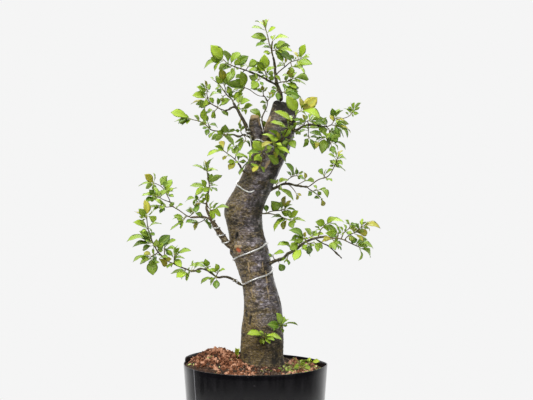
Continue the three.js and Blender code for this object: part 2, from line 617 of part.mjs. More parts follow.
    twigs: [
      [-12, [238.3, 163.4], [235.8, 160.3], [232.6, 157.1], [228.8, 154.5], [225.6, 152.6], [223.7, 150.7]],
      [-6, [235, 159.4], [235.6, 157], [235.8, 155.2]],
    ],
    leaves: [
      [221.8, 150.7, 209.2, 155.4, 3.3, 'fresh', 1.4], [223.4, 149, 221.2, 141.8, 4.6, 'young'],
      [222.6, 149.8, 215.8, 146.8, 2.6, 'pale'], [227.6, 151.8, 236.6, 146.4, 1.8, 'green', 1.2],
      [227.6, 155.6, 223.6, 159.6, 2.6, 'young'], [235.9, 154, 236.6, 146.8, 4.6, 'pale'],
      [235.4, 162.4, 229.8, 168.8, 4.8, 'young'], [238.2, 160.6, 240.6, 154.4, 3.4, 'dark'],
    ],
  },
  left_fork_shoot: {
    on: 'left_spur',
    twigs: [[-10, [242.6, 170.2], [243.4, 166], [245.4, 164], [248, 162.2], [249, 160.4]]],
    leaves: [
      [246.8, 161.4, 239.8, 162.2, 1.8, 'pale'], [248, 159, 237.3, 156.6, 2.4, 'green', 2],
      [249.6, 158.8, 252.4, 153.4, 2.4, 'fresh'], [249.8, 163, 256.6, 169.2, 2.8, 'green'],
      [245.6, 165.8, 240.8, 173.8, 2.4, 'green'],
    ],
  },
  leader_top_shoot: {
    on: 'leader_branch',
    cutRadius: 1.2,
    twigs: [
      [-6, [273.4, 57.5], [271.8, 52], [271.6, 46.5], [272.4, 40.5]],
      [8, [271.6, 50.2], [269.3, 44.1], [268.1, 37.2], [266.2, 31.1], [265.2, 27]],
      [-10, [271.8, 51.4], [273.6, 50.4], [275.6, 49.8]],
    ],
    leaves: [
      [264.4, 30.2, 253.6, 28.2, 3.1, 'green', 1], [264.4, 28, 256.2, 22.4, 2.5, 'fresh'],
      [264.6, 26, 262.4, 20.8, 1.8, 'young'], [266.3, 27.6, 268.4, 20.4, 3, 'young'],
      [268, 32.6, 274.6, 28.4, 3.5, 'fresh'], [266.8, 39, 253, 37.2, 6, 'green', 0.8],
      [267.6, 43.6, 257.5, 46.2, 3.8, 'dark'], [270, 48.6, 263, 47.8, 2.9, 'dark'],
      [270.2, 53, 264.2, 52.6, 3.1, 'fresh'], [273.8, 39.8, 286.6, 38.3, 4.2, 'fresh', 1.8],
      [275.8, 48, 284, 42.8, 5, 'green'], [277, 48.8, 288.4, 46.6, 3.2, 'pale'],
      [277.4, 50.4, 290.2, 51.4, 4.2, 'fresh'], [276.6, 51.8, 289.8, 60, 6, 'dark'],
      [273.8, 47.8, 278.4, 44, 1.8, 'pale'],
    ],
  },
  crown_left_shoot: {
    on: 'leader_branch',
    twigs: [
      [-18, [249, 71.5], [245, 70], [237.9, 67.8], [231.8, 65.5], [228, 63.8], [225.5, 61.5], [223.4, 59.4]],
      [-8, [245.6, 70.2], [247, 68.6], [247.8, 67]],
      [10, [244.6, 70], [243, 72.2], [241.8, 74]],
    ],
    leaves: [
      [222.6, 58.6, 212.4, 47, 9, 'fresh'], [222, 60.9, 206.4, 68.2, 4.6, 'green', 2.8],
      [228.8, 62.6, 225, 52, 5, 'pale'], [231.4, 62.8, 238.4, 53.8, 6.5, 'green'],
      [235.4, 65, 246.6, 57.4, 7, 'dark'], [231, 67.6, 222.8, 71.6, 4, 'dark', 2.2],
      [226.2, 64.6, 219.8, 68.6, 3.5, 'pale'], [248.4, 66, 255.4, 61.8, 6, 'green'],
      [234.6, 68.6, 233.4, 74.2, 2.4, 'green'], [240.6, 67.6, 243.6, 62.6, 3, 'green'],
      [241, 74.6, 236.4, 77.6, 3.4, 'green'], [242.4, 75.6, 244.8, 80.6, 3.4, 'fresh'],
    ],
  },
  crown_top_shoot: {
    on: 'leader_branch',
    twigs: [[-12, [267, 79.4], [266.5, 76], [265.5, 72.8], [264.7, 70.4]]],
    leaves: [
      [264.6, 69, 264.4, 56.2, 8, 'fresh'], [263.2, 71, 250.3, 70.6, 4.6, 'fresh', 0.8],
      [263.4, 69, 256, 62.6, 2, 'pale'], [266.8, 71.4, 273.4, 67.6, 3.6, 'green'],
      [267.6, 74.2, 272.6, 72.8, 4, 'pale'], [268.2, 77.4, 273.4, 78.4, 4, 'green'],
      [264.8, 75.2, 258.4, 73, 2.4, 'dark'],
    ],
  },
  crown_under_shoot: {
    on: 'leader_branch',
    twigs: [[-10, [258.8, 75.4], [259.4, 77.8], [258.4, 80.2]]],
    leaves: [
      [257.3, 81.8, 252.4, 88, 7, 'green'], [256.9, 79.3, 250, 76, 5, 'pale'],
      [260, 81.8, 262.8, 85, 2.6, 'dark'],
    ],
  },
  crown_right_shoot: {
    on: 'leader_branch',
    twigs: [
      [24, [276, 77], [277.2, 73.6], [279.4, 71], [282.6, 68.8], [286.4, 65.6], [289.9, 62.2], [294, 61],
        [299, 59.4], [303, 57.6]],
      [-6, [284.6, 67.4], [284.6, 65.2], [284, 63.2]],
      [-12, [290.4, 62.2], [291.2, 64.4], [291.4, 66]],
    ],
    leaves: [
      [300.4, 57.6, 304.6, 46.2, 6, 'fresh'], [298, 58, 293.8, 52.6, 2.9, 'young'],
      [297.6, 62, 310.3, 64, 6.2, 'green'], [304.4, 57, 309.2, 54.6, 1.8, 'green'],
      [293.4, 59.4, 290.6, 55.4, 2.4, 'pale'], [291, 67.2, 290.6, 76.2, 7, 'young'],
      [292.8, 67, 302.8, 73.2, 2, 'fresh', 2.6], [283, 62.6, 280.8, 58.8, 2.6, 'fresh'],
      [285.2, 62.2, 287.4, 58.4, 2.4, 'young'], [282.8, 65.6, 276.8, 67.4, 2.4, 'green'],
      [299, 61.8, 301.8, 68.8, 2.4, 'green'],
    ],
  },
  crown_low_shoot: {
    on: 'leader_branch',
    twigs: [[-20, [276.9, 83.6], [279.6, 82.4], [283, 81.8], [287, 81.4], [290.4, 80.2], [293.4, 78.4]]],
    leaves: [
      [294.4, 78, 306.6, 79.2, 5, 'pale', 1.8], [290.4, 82, 303.8, 84.8, 2.5, 'green', 2],
      [286.6, 83.2, 295, 88, 4.5, 'fresh'], [293.2, 76.8, 296, 72.8, 2.2, 'green'],
      [291, 78.4, 283.6, 76.2, 2, 'green', 1.2], [280.4, 80.4, 275.4, 76.4, 3, 'fresh'],
      [283.6, 83.6, 284.6, 88.6, 3, 'dark'],
    ],
  },
  leader_base_shoot: {
    on: 'leader_branch',
    twigs: [
      [-16, [280.4, 93], [282.4, 92.4], [284.2, 92]],
      [-10, [279.6, 91], [278, 90.4], [276.8, 90.6]],
    ],
    leaves: [
      [285.4, 92.6, 297.3, 97.2, 8, 'dark'], [285, 90.6, 297, 88, 5.5, 'dark'],
      [284.4, 93.8, 299.8, 98.6, 1.8, 'green', 2], [275.6, 91.4, 271, 92.8, 2.9, 'young'],
      [277.4, 92.2, 278, 99.6, 4.4, 'dark'], [275.8, 89.4, 272.4, 87.2, 2.5, 'dark'],
    ],
  },
  notch_shoot: {
    on: 'trunk',
    depth: 2,
    twigs: [
      [-8, [264.5, 134], [262.6, 125], [261.6, 119.6], [262.5, 115.5], [264.5, 112], [266.6, 108.5],
        [267.4, 104], [267.6, 100.5], [266.2, 97.5], [264, 95.8], [260, 96.3], [256.5, 95.3], [253, 92],
        [250, 89.8], [246.5, 88.2], [244.4, 87.6]],
      [6, [264, 95.8], [263.4, 93.6], [263, 91.8]],
      [-7, [267.6, 101.5], [268.8, 99.6], [270, 98]],
    ],
    leaves: [
      [243.4, 87.2, 228.8, 84.4, 5.5, 'pale', 1], [245, 86.4, 241.3, 73.4, 7, 'fresh'],
      [250.8, 88.6, 256.6, 87, 4, 'pale'], [243.2, 88.6, 233.4, 91.4, 3, 'fresh'],
      [263, 90.8, 262.2, 86.2, 3, 'young'], [262, 92, 256.8, 90, 2.6, 'pale'],
      [264.2, 92.2, 267.2, 88, 1.7, 'young'], [266.2, 103, 260.8, 102.7, 1.9, 'pale'],
      [271, 97.8, 274.4, 94.4, 2.4, 'fresh'], [269.6, 96.8, 268.2, 92, 1.8, 'young'],
      [264.4, 110.8, 265.6, 104.6, 2.8, 'pale'], [260.6, 116.4, 251.8, 110.6, 5.5, 'green'],
      [263.2, 120.6, 265.4, 126.6, 3.4, 'fresh'], [260.4, 120.8, 257.4, 124.6, 2.4, 'dark'],
    ],
  },
  front_upper_shoot: {
    on: 'trunk',
    depth: -22,
    twigs: [
      [-22, [277.5, 147], [280.4, 142], [284, 136], [287, 130], [289.5, 126], [291.5, 121.5], [294, 117],
        [296.5, 113.5], [298.5, 111.8], [301, 110.6]],
      [-6, [281.4, 140.4], [280, 139.6], [278, 139.8]],
    ],
    leaves: [
      [297, 110.8, 287.8, 98, 8.5, 'fresh'], [302.6, 110, 315.2, 99.2, 9, 'young'],
      [300.6, 112, 317.6, 118.5, 6, 'fresh', 3.6], [290.4, 120.4, 276, 112.6, 4.9, 'fresh', 1.6],
      [293.4, 120, 298.9, 120.4, 3, 'dark'], [290.2, 123, 286, 119.6, 2.5, 'young'],
      [287.6, 127.4, 272.5, 123, 3.6, 'fresh', 0.8], [288.8, 129, 293, 126.6, 3, 'dark'],
      [279.6, 138.4, 270, 131.6, 2.8, 'pale', 2], [276.8, 140, 263.6, 135.3, 2.8, 'fresh', 1.3],
      [279, 138, 276.6, 133, 1.9, 'young'], [285.6, 134.4, 281.4, 131.6, 2.8, 'green'],
    ],
  },
  right_low_leaf_shoot: {
    on: 'right_upper_branch',
    twigs: [[-9, [288.4, 136.6], [289, 138.2], [289.4, 139.6]]],
    leaves: [[290.6, 140.4, 294.6, 147.2, 6, 'green'], [288, 140.8, 283.2, 143.2, 3.4, 'pale']],
  },
  right_near_shoot: {
    on: 'right_upper_branch',
    twigs: [[-12, [295.2, 131.2], [294.4, 130], [293.2, 129]]],
    leaves: [
      [291.8, 129.8, 284.4, 136.6, 3.8, 'fresh', 0.8], [295.4, 129.6, 299.6, 134.4, 3, 'pale'],
      [293.6, 127.6, 296.8, 123, 3, 'fresh'],
    ],
  },
  right_inner_shoot: {
    on: 'right_upper_branch',
    twigs: [
      [-14, [304.4, 126.2], [304.2, 123.6], [306, 121.4], [309, 120.6]],
      [12, [308.6, 125], [308.9, 128.5], [308.4, 132], [308.2, 135], [309, 137.4]],
    ],
    leaves: [
      [303.2, 122.8, 299.4, 119, 3, 'green'], [302.8, 124.2, 295, 125.4, 3, 'dark'],
      [304.8, 121, 302.6, 115.4, 2.6, 'young'], [310.2, 120, 318.6, 116.8, 2.4, 'fresh'],
      [310.4, 121.6, 323, 119.4, 2.6, 'pale'], [309.4, 119.2, 312, 113.6, 2.8, 'fresh'],
      [307, 130.4, 300.6, 132.6, 2.3, 'dark', 1], [307.2, 136.4, 304.2, 135.2, 2.2, 'green'],
      [308, 138.6, 305.6, 142.8, 4, 'green'], [310.4, 137.2, 318, 138.4, 2.6, 'green'],
      [310, 138.8, 313.8, 148.2, 4.6, 'dark'], [307, 128.2, 303, 127.4, 2.2, 'green'],
    ],
  },
  right_outer_shoot: {
    on: 'right_upper_branch',
    twigs: [
      [20, [320, 126], [327, 126.5], [331, 125], [333.5, 121.8], [334.4, 119.2], [334.2, 117]],
      [-18, [331, 125], [333.6, 125.2], [336, 125.8]],
      [-22, [326, 126.4], [329.6, 130], [329, 134], [328.3, 137], [329.5, 141], [331.3, 145]],
      [-8, [328.3, 137], [324, 137.7], [321.5, 138.7], [318.8, 140.5]],
      [30, [334.3, 119], [338, 118.8], [341, 119], [346, 117.5], [348, 117], [350, 115.5], [352, 113],
        [353, 111]],
    ],
    leaves: [
      [333.6, 116, 332.2, 109.2, 5, 'dark'], [335.2, 116.2, 339.2, 110, 3.2, 'green'],
      [335.8, 117.6, 342.2, 111.2, 2.4, 'pale'], [332.4, 121.4, 330.6, 115.6, 3, 'young'],
      [335, 120.6, 343.6, 120.8, 2.4, 'young'], [337.4, 125.4, 347.4, 124.4, 4.5, 'pale'],
      [336.6, 124, 341.8, 122, 3.4, 'dark'], [337, 127, 349, 132.6, 1.8, 'young', 2.6],
      [335.4, 127, 345.6, 136.4, 2.5, 'dark', 3.4], [334.4, 127.2, 342, 136.4, 2.4, 'dark', 2],
      [326, 124.8, 316, 122.8, 4.6, 'dark'], [324.4, 125, 326.4, 118.2, 2.2, 'pale'],
      [324.6, 127.4, 311, 128, 5.2, 'green'], [327.4, 129.4, 320.4, 131, 5.4, 'pale'],
      [331, 132.6, 335.2, 142.2, 6, 'dark'], [331.4, 130.4, 339.2, 136.4, 4.8, 'pale'],
      [331.9, 146, 333.5, 153, 4.5, 'dark'], [332, 142, 343.6, 148.8, 1.6, 'green', 2.4],
      [324.2, 139.2, 322.2, 151.8, 7.4, 'green'], [326.4, 139, 327.6, 147.6, 3.2, 'dark'],
      [317.8, 141.8, 316.4, 147.6, 3.6, 'young'], [322, 136.6, 311.2, 132.6, 4.6, 'dark'],
      [326.6, 136.4, 322.4, 132.4, 2.6, 'green'], [352.2, 111.2, 350.6, 104, 2.2, 'young'],
      [353.4, 109.8, 354.4, 103.4, 2.5, 'green'], [354.2, 110.6, 360.3, 104, 2.6, 'pale'],
      [353.4, 113.4, 358, 113.4, 3, 'green'], [350.4, 113.4, 344.6, 109.2, 1.7, 'green', 0.8],
      [349, 115.2, 345.6, 112.8, 1.8, 'green'], [351.2, 111.8, 348.4, 107.4, 2.6, 'dark'],
    ],
  },
  right_mid_shoot: {
    on: 'right_mid_branch',
    twigs: [
      [-24, [308, 187], [310, 186.3], [312, 184.5], [314, 182.5], [317, 180.3], [320, 178.8], [323, 177.8],
        [326, 177.8], [328, 176.8], [330, 174.5], [331.5, 171.8], [333, 169.8], [334, 167], [334.8, 165],
        [336, 162.5], [336.8, 160.2], [337.5, 157.5]],
      [10, [325, 177.8], [324.6, 176], [324.2, 174.8]],
    ],
    leaves: [
      [335.8, 159.6, 329.2, 155.2, 2.1, 'green'], [337.9, 156.4, 342.2, 151, 2.1, 'young'],
      [336.9, 156.2, 334.4, 151.6, 1.4, 'green'], [338.4, 158.8, 344.8, 159.4, 2.5, 'green', 1.6],
      [337.8, 161, 341.8, 164.4, 2.8, 'green'], [335.8, 164.4, 341, 161, 2, 'green'],
      [333.6, 164.8, 330, 161.2, 2.3, 'green'], [335.4, 166.8, 343.8, 170.8, 1.8, 'green', 1.2],
      [325.4, 174.4, 331.8, 170.2, 2.1, 'green'], [323.4, 174, 319.8, 169.8, 4, 'dark'],
      [327.2, 178.6, 331.6, 181, 2, 'green'],
    ],
  },
  right_fork_shoot: {
    on: 'right_mid_branch',
    twigs: [
      [18, [306.6, 187], [309.4, 189.2], [311.6, 190.6], [314, 192], [317, 194.5], [319, 196], [321, 197.6]],
      [-6, [313, 191.4], [315.2, 190.2], [317.6, 190]],
    ],
    leaves: [
      [311.6, 192, 308.6, 195.4, 3.2, 'dark'], [318, 191.2, 320.4, 194.6, 3, 'green'],
      [319, 189.8, 326.2, 196.6, 3.7, 'green', 3.6], [321.6, 199, 323.4, 205, 3.9, 'young'],
      [319, 197.4, 314.6, 198, 2.6, 'dark'], [316.8, 188.8, 314, 185.6, 2.2, 'green'],
    ],
  },
  right_start_shoot: {
    on: 'right_mid_branch',
    twigs: [
      [-12, [279.4, 185.9], [279.4, 187.8], [279, 189.4]],
      [-8, [279.4, 189], [276.4, 187], [276, 184.6], [277.4, 183]],
    ],
    leaves: [
      [278.4, 190.4, 277.6, 196, 4, 'dark'], [280.6, 189.4, 291.5, 199.2, 3.8, 'green', 1.8],
      [275.8, 184.2, 270.8, 180.2, 2.2, 'pale'], [279.6, 182.8, 287.4, 180.4, 3.1, 'fresh'],
    ],
  },
  right_top_shoot: {
    on: 'right_mid_branch',
    twigs: [
      [-14, [284.6, 183.9], [286, 181], [288.5, 178.9], [291.5, 177.3], [294, 175.8], [297, 175.6]],
      [-24, [287.4, 183.6], [290.5, 186], [293.5, 189.3], [296, 193]],
    ],
    leaves: [
      [293.6, 174.6, 286, 164.7, 3.9, 'dark'], [290.8, 176.2, 287.4, 172, 2.4, 'dark'],
      [296.6, 174.2, 296, 169.4, 2.8, 'dark'], [298, 174.8, 302.8, 172.6, 1.8, 'pale'],
      [298.2, 176.6, 303, 179, 2.2, 'dark'], [296.3, 194.2, 297.3, 199, 2.7, 'young'],
    ],
  },
  right_thin_shoot: {
    on: 'right_mid_branch',
    twigs: [[16, [296, 185.5], [300, 183.5], [302.5, 182], [304.5, 181]]],
    leaves: [[304.8, 179.6, 304.2, 173.2, 2.8, 'young'], [306, 181, 313, 180.4, 4, 'green']],
  },
  right_low_shoot: {
    on: 'trunk',
    depth: -4,
    twigs: [
      [14, [258, 214], [262.5, 213.7], [265, 213.4], [268, 213.4], [274, 214.4], [279, 215.7], [284, 218],
        [289, 219.6], [291.4, 219.8]],
      [30, [267, 213.4], [270.5, 211.4], [274, 210.9], [278, 210.7], [282, 210.2], [284.5, 209.3]],
    ],
    leaves: [
      [290, 221, 292.6, 227.4, 5, 'green'], [292.6, 219.6, 304, 221.4, 2.2, 'fresh', 1],
      [291, 218.4, 297.3, 212, 4.3, 'fresh'], [286.8, 220.4, 283, 228, 4.5, 'young'],
      [285.4, 219.8, 275.8, 230, 3.1, 'fresh', 2], [284.6, 217.2, 272.8, 218, 2.5, 'dark', 2],
      [279.4, 209.6, 272.2, 202.2, 8.4, 'green'], [282, 208.8, 280.8, 202.6, 4.5, 'dark'],
      [284.4, 207.4, 285.4, 197.6, 3.7, 'young'], [285.8, 208.6, 288.6, 204.8, 1.8, 'fresh'],
      [286, 209.4, 296, 212.3, 1.6, 'pale', 1.6], [281.4, 211.6, 287.8, 214.6, 4.5, 'green'],
      [284.8, 210.8, 291, 213.6, 3, 'pale'], [266.4, 211.6, 266.2, 205.8, 4.2, 'dark'],
    ],
  },
  long_base_shoot: {
    on: 'right_long_branch',
    twigs: [
      [-8, [275.6, 260.7], [273.8, 258.2], [272.8, 256.2]],
      [-8, [278.4, 259.6], [278.7, 261.4], [279, 262.6]],
    ],
    leaves: [
      [273.2, 255, 282.6, 253.1, 2.7, 'green'], [279.4, 263.8, 283.2, 269.6, 5.6, 'dark'],
      [271.8, 257, 268.6, 254.4, 2, 'green'],
    ],
  },
  long_near_shoot: {
    on: 'right_long_branch',
    twigs: [
      [-12, [291, 252.4], [291.4, 250.4], [291, 248.8]],
      [-8, [286, 255.5], [286.9, 257.2], [287.2, 258.6]],
    ],
    leaves: [
      [290.2, 248, 279.3, 245.8, 1.8, 'green', 2], [292, 247.8, 296.6, 243.6, 3, 'green'],
      [287.6, 259.8, 288.4, 264.4, 2.2, 'dark'], [286, 258.6, 281.6, 260.4, 2, 'green'],
    ],
  },
  long_big_shoot: {
    on: 'right_long_branch',
    twigs: [
      [-14, [299.6, 246.4], [299.8, 244.6], [299.4, 243]],
      [-16, [301.4, 244.8], [302.2, 246.6], [302.4, 248]],
    ],
    leaves: [
      [297.8, 243.4, 291, 248.8, 6.8, 'green'], [298.6, 241.6, 290.6, 240.8, 2.2, 'green'],
      [301.2, 249, 295.2, 258.9, 6, 'fresh'], [303.6, 249, 309, 255.6, 1.7, 'green', 1.2],
      [300.4, 241.6, 300.2, 236.2, 3, 'fresh'],
    ],
  },
  long_top_shoot: {
    on: 'right_long_branch',
    twigs: [
      [-14, [305.7, 241.7], [305, 239.6], [304.5, 238.2]],
      [16, [305, 239], [308.5, 238], [312, 236.6]],
      [-8, [304.5, 238.4], [306, 241], [308.3, 244]],
      [-6, [308, 243.2], [311.5, 243], [314.5, 242.6]],
    ],
    leaves: [
      [303.6, 238, 290.8, 231.4, 4.9, 'dark', 2.4], [303, 239, 293, 240.4, 2.8, 'pale', 2.4],
      [305, 237.4, 305.6, 232.6, 2.4, 'young'], [311.6, 235.4, 305.6, 229.4, 4, 'pale'],
      [313.2, 236.4, 322.2, 234.6, 2.3, 'fresh', 0.8], [308.4, 245.4, 309, 253.2, 5.4, 'dark'],
      [309.6, 243.8, 313.6, 245.6, 1.8, 'green'], [307, 244.4, 303.4, 249.2, 3, 'green'],
      [314.9, 243.8, 317.2, 250.8, 3.4, 'green'], [316, 242.8, 321.6, 247.6, 3.5, 'green'],
    ],
  },
  long_rise_shoot: {
    on: 'right_long_branch',
    twigs: [
      [14, [318, 237.7], [318.8, 234.5], [319.8, 231.5], [321.5, 228.6], [323.5, 226.6], [326.5, 224]],
    ],
    leaves: [
      [325, 223.6, 316.8, 222, 6, 'green'], [327.8, 223, 341.9, 222.7, 2.9, 'fresh', 2.4],
      [319.8, 229.2, 315.6, 226.8, 1.8, 'pale'], [323.8, 228, 328, 230.2, 2.4, 'green'],
    ],
  },
  long_end_shoot: {
    on: 'right_long_branch',
    twigs: [
      [-10, [327, 236.7], [329.5, 238], [334, 238.2], [337, 238], [340, 239], [343, 239.6], [346, 240.5],
        [349, 242.5], [352, 244], [355, 245.2], [357.5, 246.8], [359.6, 247.4]],
      [18, [337, 238], [338.3, 235.6], [338.2, 233.8]],
      [-20, [332, 238.2], [333.2, 240], [333.8, 241.4]],
      [-22, [344.4, 240], [346.5, 236.9], [350.5, 234.4], [354.5, 232.8], [358, 230], [361, 227.4],
        [362.2, 226.4]],
      [20, [341, 239.2], [342.4, 236], [342.8, 234], [344.2, 232.3], [346.5, 230.6], [349, 228.5],
        [350.3, 225.6]],
    ],
    leaves: [
      [336.8, 233.2, 327, 233.2, 6.5, 'green'], [337.4, 231.8, 324, 228.3, 1.7, 'pale', 1.8],
      [338.9, 232.6, 336.6, 227.4, 1.9, 'green'], [336, 235.8, 331.2, 236.2, 2.8, 'dark'],
      [332.6, 242.4, 335.2, 249.2, 4.8, 'green'], [335, 241.8, 341, 245, 2.7, 'dark', 0.5],
      [334.4, 243, 340, 249.4, 2.7, 'dark'], [331, 239.6, 322.6, 241.6, 2.5, 'young'],
      [363.4, 225.8, 377.9, 228.2, 4, 'young', 2.8], [362.1, 225, 362.4, 219.4, 2.3, 'fresh'],
      [357.4, 229.2, 358.4, 224, 2.4, 'dark'], [357, 232.4, 366, 232.8, 5.6, 'young'],
      [354.8, 234.4, 361.6, 240.4, 2.9, 'young'], [351.4, 235.6, 354.6, 242, 5.2, 'dark'],
      [348.4, 236.8, 352.6, 239.8, 3.6, 'young'], [362.6, 227.6, 367.4, 228.8, 1.9, 'pale'],
      [345.6, 232.8, 351.2, 233.2, 2.8, 'fresh'], [349.4, 229.6, 356.6, 230.4, 3.2, 'young'],
      [351.2, 224.4, 356.8, 227.2, 2.4, 'dark', 1.2], [349.6, 224.4, 346, 220.6, 1.8, 'pale'],
      [342.6, 232.6, 339.6, 227.6, 1.8, 'green'], [346, 229.4, 344, 224.8, 2, 'green'],
      [357.4, 244.8, 371.2, 248.9, 3.8, 'green', 4.4], [360.6, 248.4, 368.4, 256.2, 4, 'green', 2.6],
      [356.2, 243.8, 365.7, 240.4, 3.1, 'dark'], [353.2, 243.4, 353, 238.8, 2, 'dark'],
      [361, 247, 366.8, 246.2, 3.2, 'pale'],
    ],
  },
  trunk_left_shoot: {
    on: 'trunk',
    depth: -24,
    twigs: [
      [-9, [263.6, 157.5], [262.6, 154.6], [261.6, 152]],
      [-9, [263.6, 157.5], [265, 155.4], [266, 154]],
      [-9, [263.6, 157.5], [262, 162], [260, 165]],
    ],
    leaves: [
      [261.2, 150.6, 254.2, 142.4, 8, 'fresh'], [260.2, 153.4, 249, 153, 4.4, 'dark'],
      [267.2, 153.4, 270.4, 149.6, 2.6, 'pale'], [267.8, 155.2, 276.8, 162.6, 6.6, 'green'],
      [258.8, 166, 253.6, 171.4, 3.9, 'young'], [260.6, 166.6, 263.8, 171.4, 2.7, 'green'],
      [261.4, 161.2, 255.8, 158.2, 3, 'green'],
    ],
  },
  trunk_middle_shoot: {
    on: 'trunk',
    depth: -26,
    twigs: [[-18, [272.5, 152.5], [274.4, 149], [275, 145.6], [274.2, 143]]],
    leaves: [
      [273.4, 142.4, 263.2, 146.8, 3.7, 'young', 1], [273.8, 141.6, 269, 137.2, 2.6, 'green'],
      [276.2, 146.6, 287.8, 152.9, 3.7, 'fresh', 0.8], [275, 150, 284.4, 160.7, 2.4, 'pale'],
      [273.6, 150.8, 275.6, 157.2, 2.8, 'young'], [273, 147.2, 267.4, 148, 3.5, 'green'],
      [275.8, 143.6, 281, 145.4, 2.6, 'fresh'],
    ],
  },
  base_front_shoot: {
    on: 'trunk',
    depth: -30,
    twigs: [[-9, [264.6, 342], [264.4, 338.8], [264.3, 336.8]]],
    leaves: [
      [262.6, 336, 249.1, 334.6, 4, 'fresh', 2.4], [266, 336.1, 279.8, 339.7, 2.8, 'fresh', 2],
      [266.4, 337.4, 273.4, 340.2, 2.4, 'green'], [263, 338.2, 260.8, 343, 2.7, 'fresh'],
      [265.6, 338.4, 269.4, 343, 2.7, 'fresh'],
    ],
  },
  base_side_shoot: {
    on: 'trunk',
    depth: -24,
    twigs: [[-10, [282, 331], [281.6, 328], [281.2, 326]]],
    leaves: [
      [280.4, 324.6, 276.9, 314.6, 5, 'green'], [279.6, 326.6, 269, 324.8, 6, 'dark'],
      [282.2, 327.4, 283.6, 331.8, 2, 'pale'], [282.6, 325.2, 296, 325.6, 1.6, 'pale', 1.6],
    ],
  },
  left_weed: {
    on: 'soil',
    depth: -8,
    twigs: [[-2, [237.4, 364], [237.4, 358], [237.5, 355.6]]],
    leaves: [[236.6, 355, 235.4, 348.8, 3, 'fresh'], [238.2, 355, 239, 349.2, 2.6, 'fresh']],
  },
  right_weed: {
    on: 'soil',
    depth: -14,
    twigs: [
      [-10, [303, 376], [302, 368], [299, 362.5], [292.5, 357.2]],
      [4, [302, 368], [306, 364.4], [311, 362.4]],
    ],
    leaves: [
      [300.4, 362.6, 307.4, 361, 2.6, 'pale'], [304.4, 364.6, 300.6, 360.6, 2.6, 'green'],
      [312.2, 362, 318.6, 361.6, 2.8, 'fresh'], [309, 362.4, 309.6, 358, 2.4, 'fresh'],
      [303.6, 367.2, 309.6, 368.4, 2.8, 'green'], [300.8, 366.6, 294.6, 367.4, 2.6, 'green'],
    ],
  },
};

// Wires lie a little off the wood. A step away from the leaning trunk counts for less than its length.
const wireClearance = 0.15;
const wireReach = wireRadius + gap + wireClearance;
const steepness = 0.88;

function woodDistance(point) {
  const row = view.middleY + ((view.eyeZ - point.z) * view.scale) / (view.eyeDistance + point.y);
  const { centre } = trunkAt(row);
  const across = (place) => Math.hypot(place.x - centre.x, place.y - centre.y);
  const angle = Math.atan2((point.y - centre.y) / trunkDepthRatio, point.x - centre.x);
  const bark = trunkPoint(row, THREE.MathUtils.radToDeg(angle));
  const samples = 24;
  const fromLimbs = [stub, burr].map((limb) => {
    const places = limb.curve.getSpacedPoints(samples);
    return Math.min(...places.map((place, index) => (
      place.distanceTo(point) - along(limb.radii, index / samples)
    )));
  });
  return Math.min(steepness * (across(point) - across(bark)), ...fromLimbs);
}

function pushOut(point) {
  const step = 0.5;
  const rounds = 4;
  for (let round = 0; round < rounds; round += 1) {
    const distance = woodDistance(point);
    if (distance >= wireReach) return point;
    const slope = new THREE.Vector3(...['x', 'y', 'z'].map((axis) => {
      const moved = point.clone();
      moved[axis] += step;
      return woodDistance(moved) - distance;
    }));
    point.addScaledVector(slope.normalize(), wireReach - distance);
  }
  return point;
}

// Points round the trunk through anchors of angle and row.
function aroundTrunk(anchors) {
  const points = [];
  const angleStep = 18;
  for (let index = 0; index + 1 < anchors.length; index += 1) {
    const [fromAngle, fromRow] = anchors[index];
    const [toAngle, toRow] = anchors[index + 1];
    const count = Math.ceil(Math.abs(toAngle - fromAngle) / angleStep);
    for (let step = 0; step < count; step += 1) {
      const share = step / count;
      const row = THREE.MathUtils.lerp(fromRow, toRow, share);
      points.push(pushOut(trunkPoint(row, THREE.MathUtils.lerp(fromAngle, toAngle, share), wireReach)));
    }
  }
  return points;
}

// Points winding round a limb between two shares of its length.
function coil(limb, from, to, turns) {
  const segments = 100;
  const pointsPerTurn = 8;
  const frames = limb.curve.computeFrenetFrames(segments, false);
  const count = turns * pointsPerTurn;
  const points = [];
  for (let step = 0; step <= count; step += 1) {
    const share = THREE.MathUtils.lerp(from, to, step / count);
    const angle = (step / count) * turns * 2 * Math.PI;
    const reach = along(limb.radii, share) + wireReach;
    const index = Math.round(share * segments);
    points.push(pushOut(limb.curve.getPointAt(share)
      .addScaledVector(frames.normals[index], reach * Math.cos(angle))
      .addScaledVector(frames.binormals[index], reach * Math.sin(angle))));
  }
  return points;
}

// A place on the wood's front for a point of the front view.
function onFront(x, y) {
  const inFront = -60;
  const step = 0.5;
  let depth = inFront;
  while (depth < 0 && woodDistance(at(x, y, depth)) > wireReach) depth += step;
  return at(x, y, depth);
}

// Limbs of every branch. The second limb of a branch forks off the first.
const limbs = Object.fromEntries(Object.entries(branches).map(([name, parts]) => {
  const made = [];
  parts.forEach(([depths, radii, places]) => {
    const start = made.length ? nearestOn(made, ...places[0]).point.y : depths[0];
    const points = places.map(([x, y], index) => {
      const reach = along(depths, index / (places.length - 1)) - depths[0];
      return at(x, y, start + crownDepth * reach);
    });
    made.push(makeLimb(points, radii, steps.branch));
  });
  return [name, made];
}));

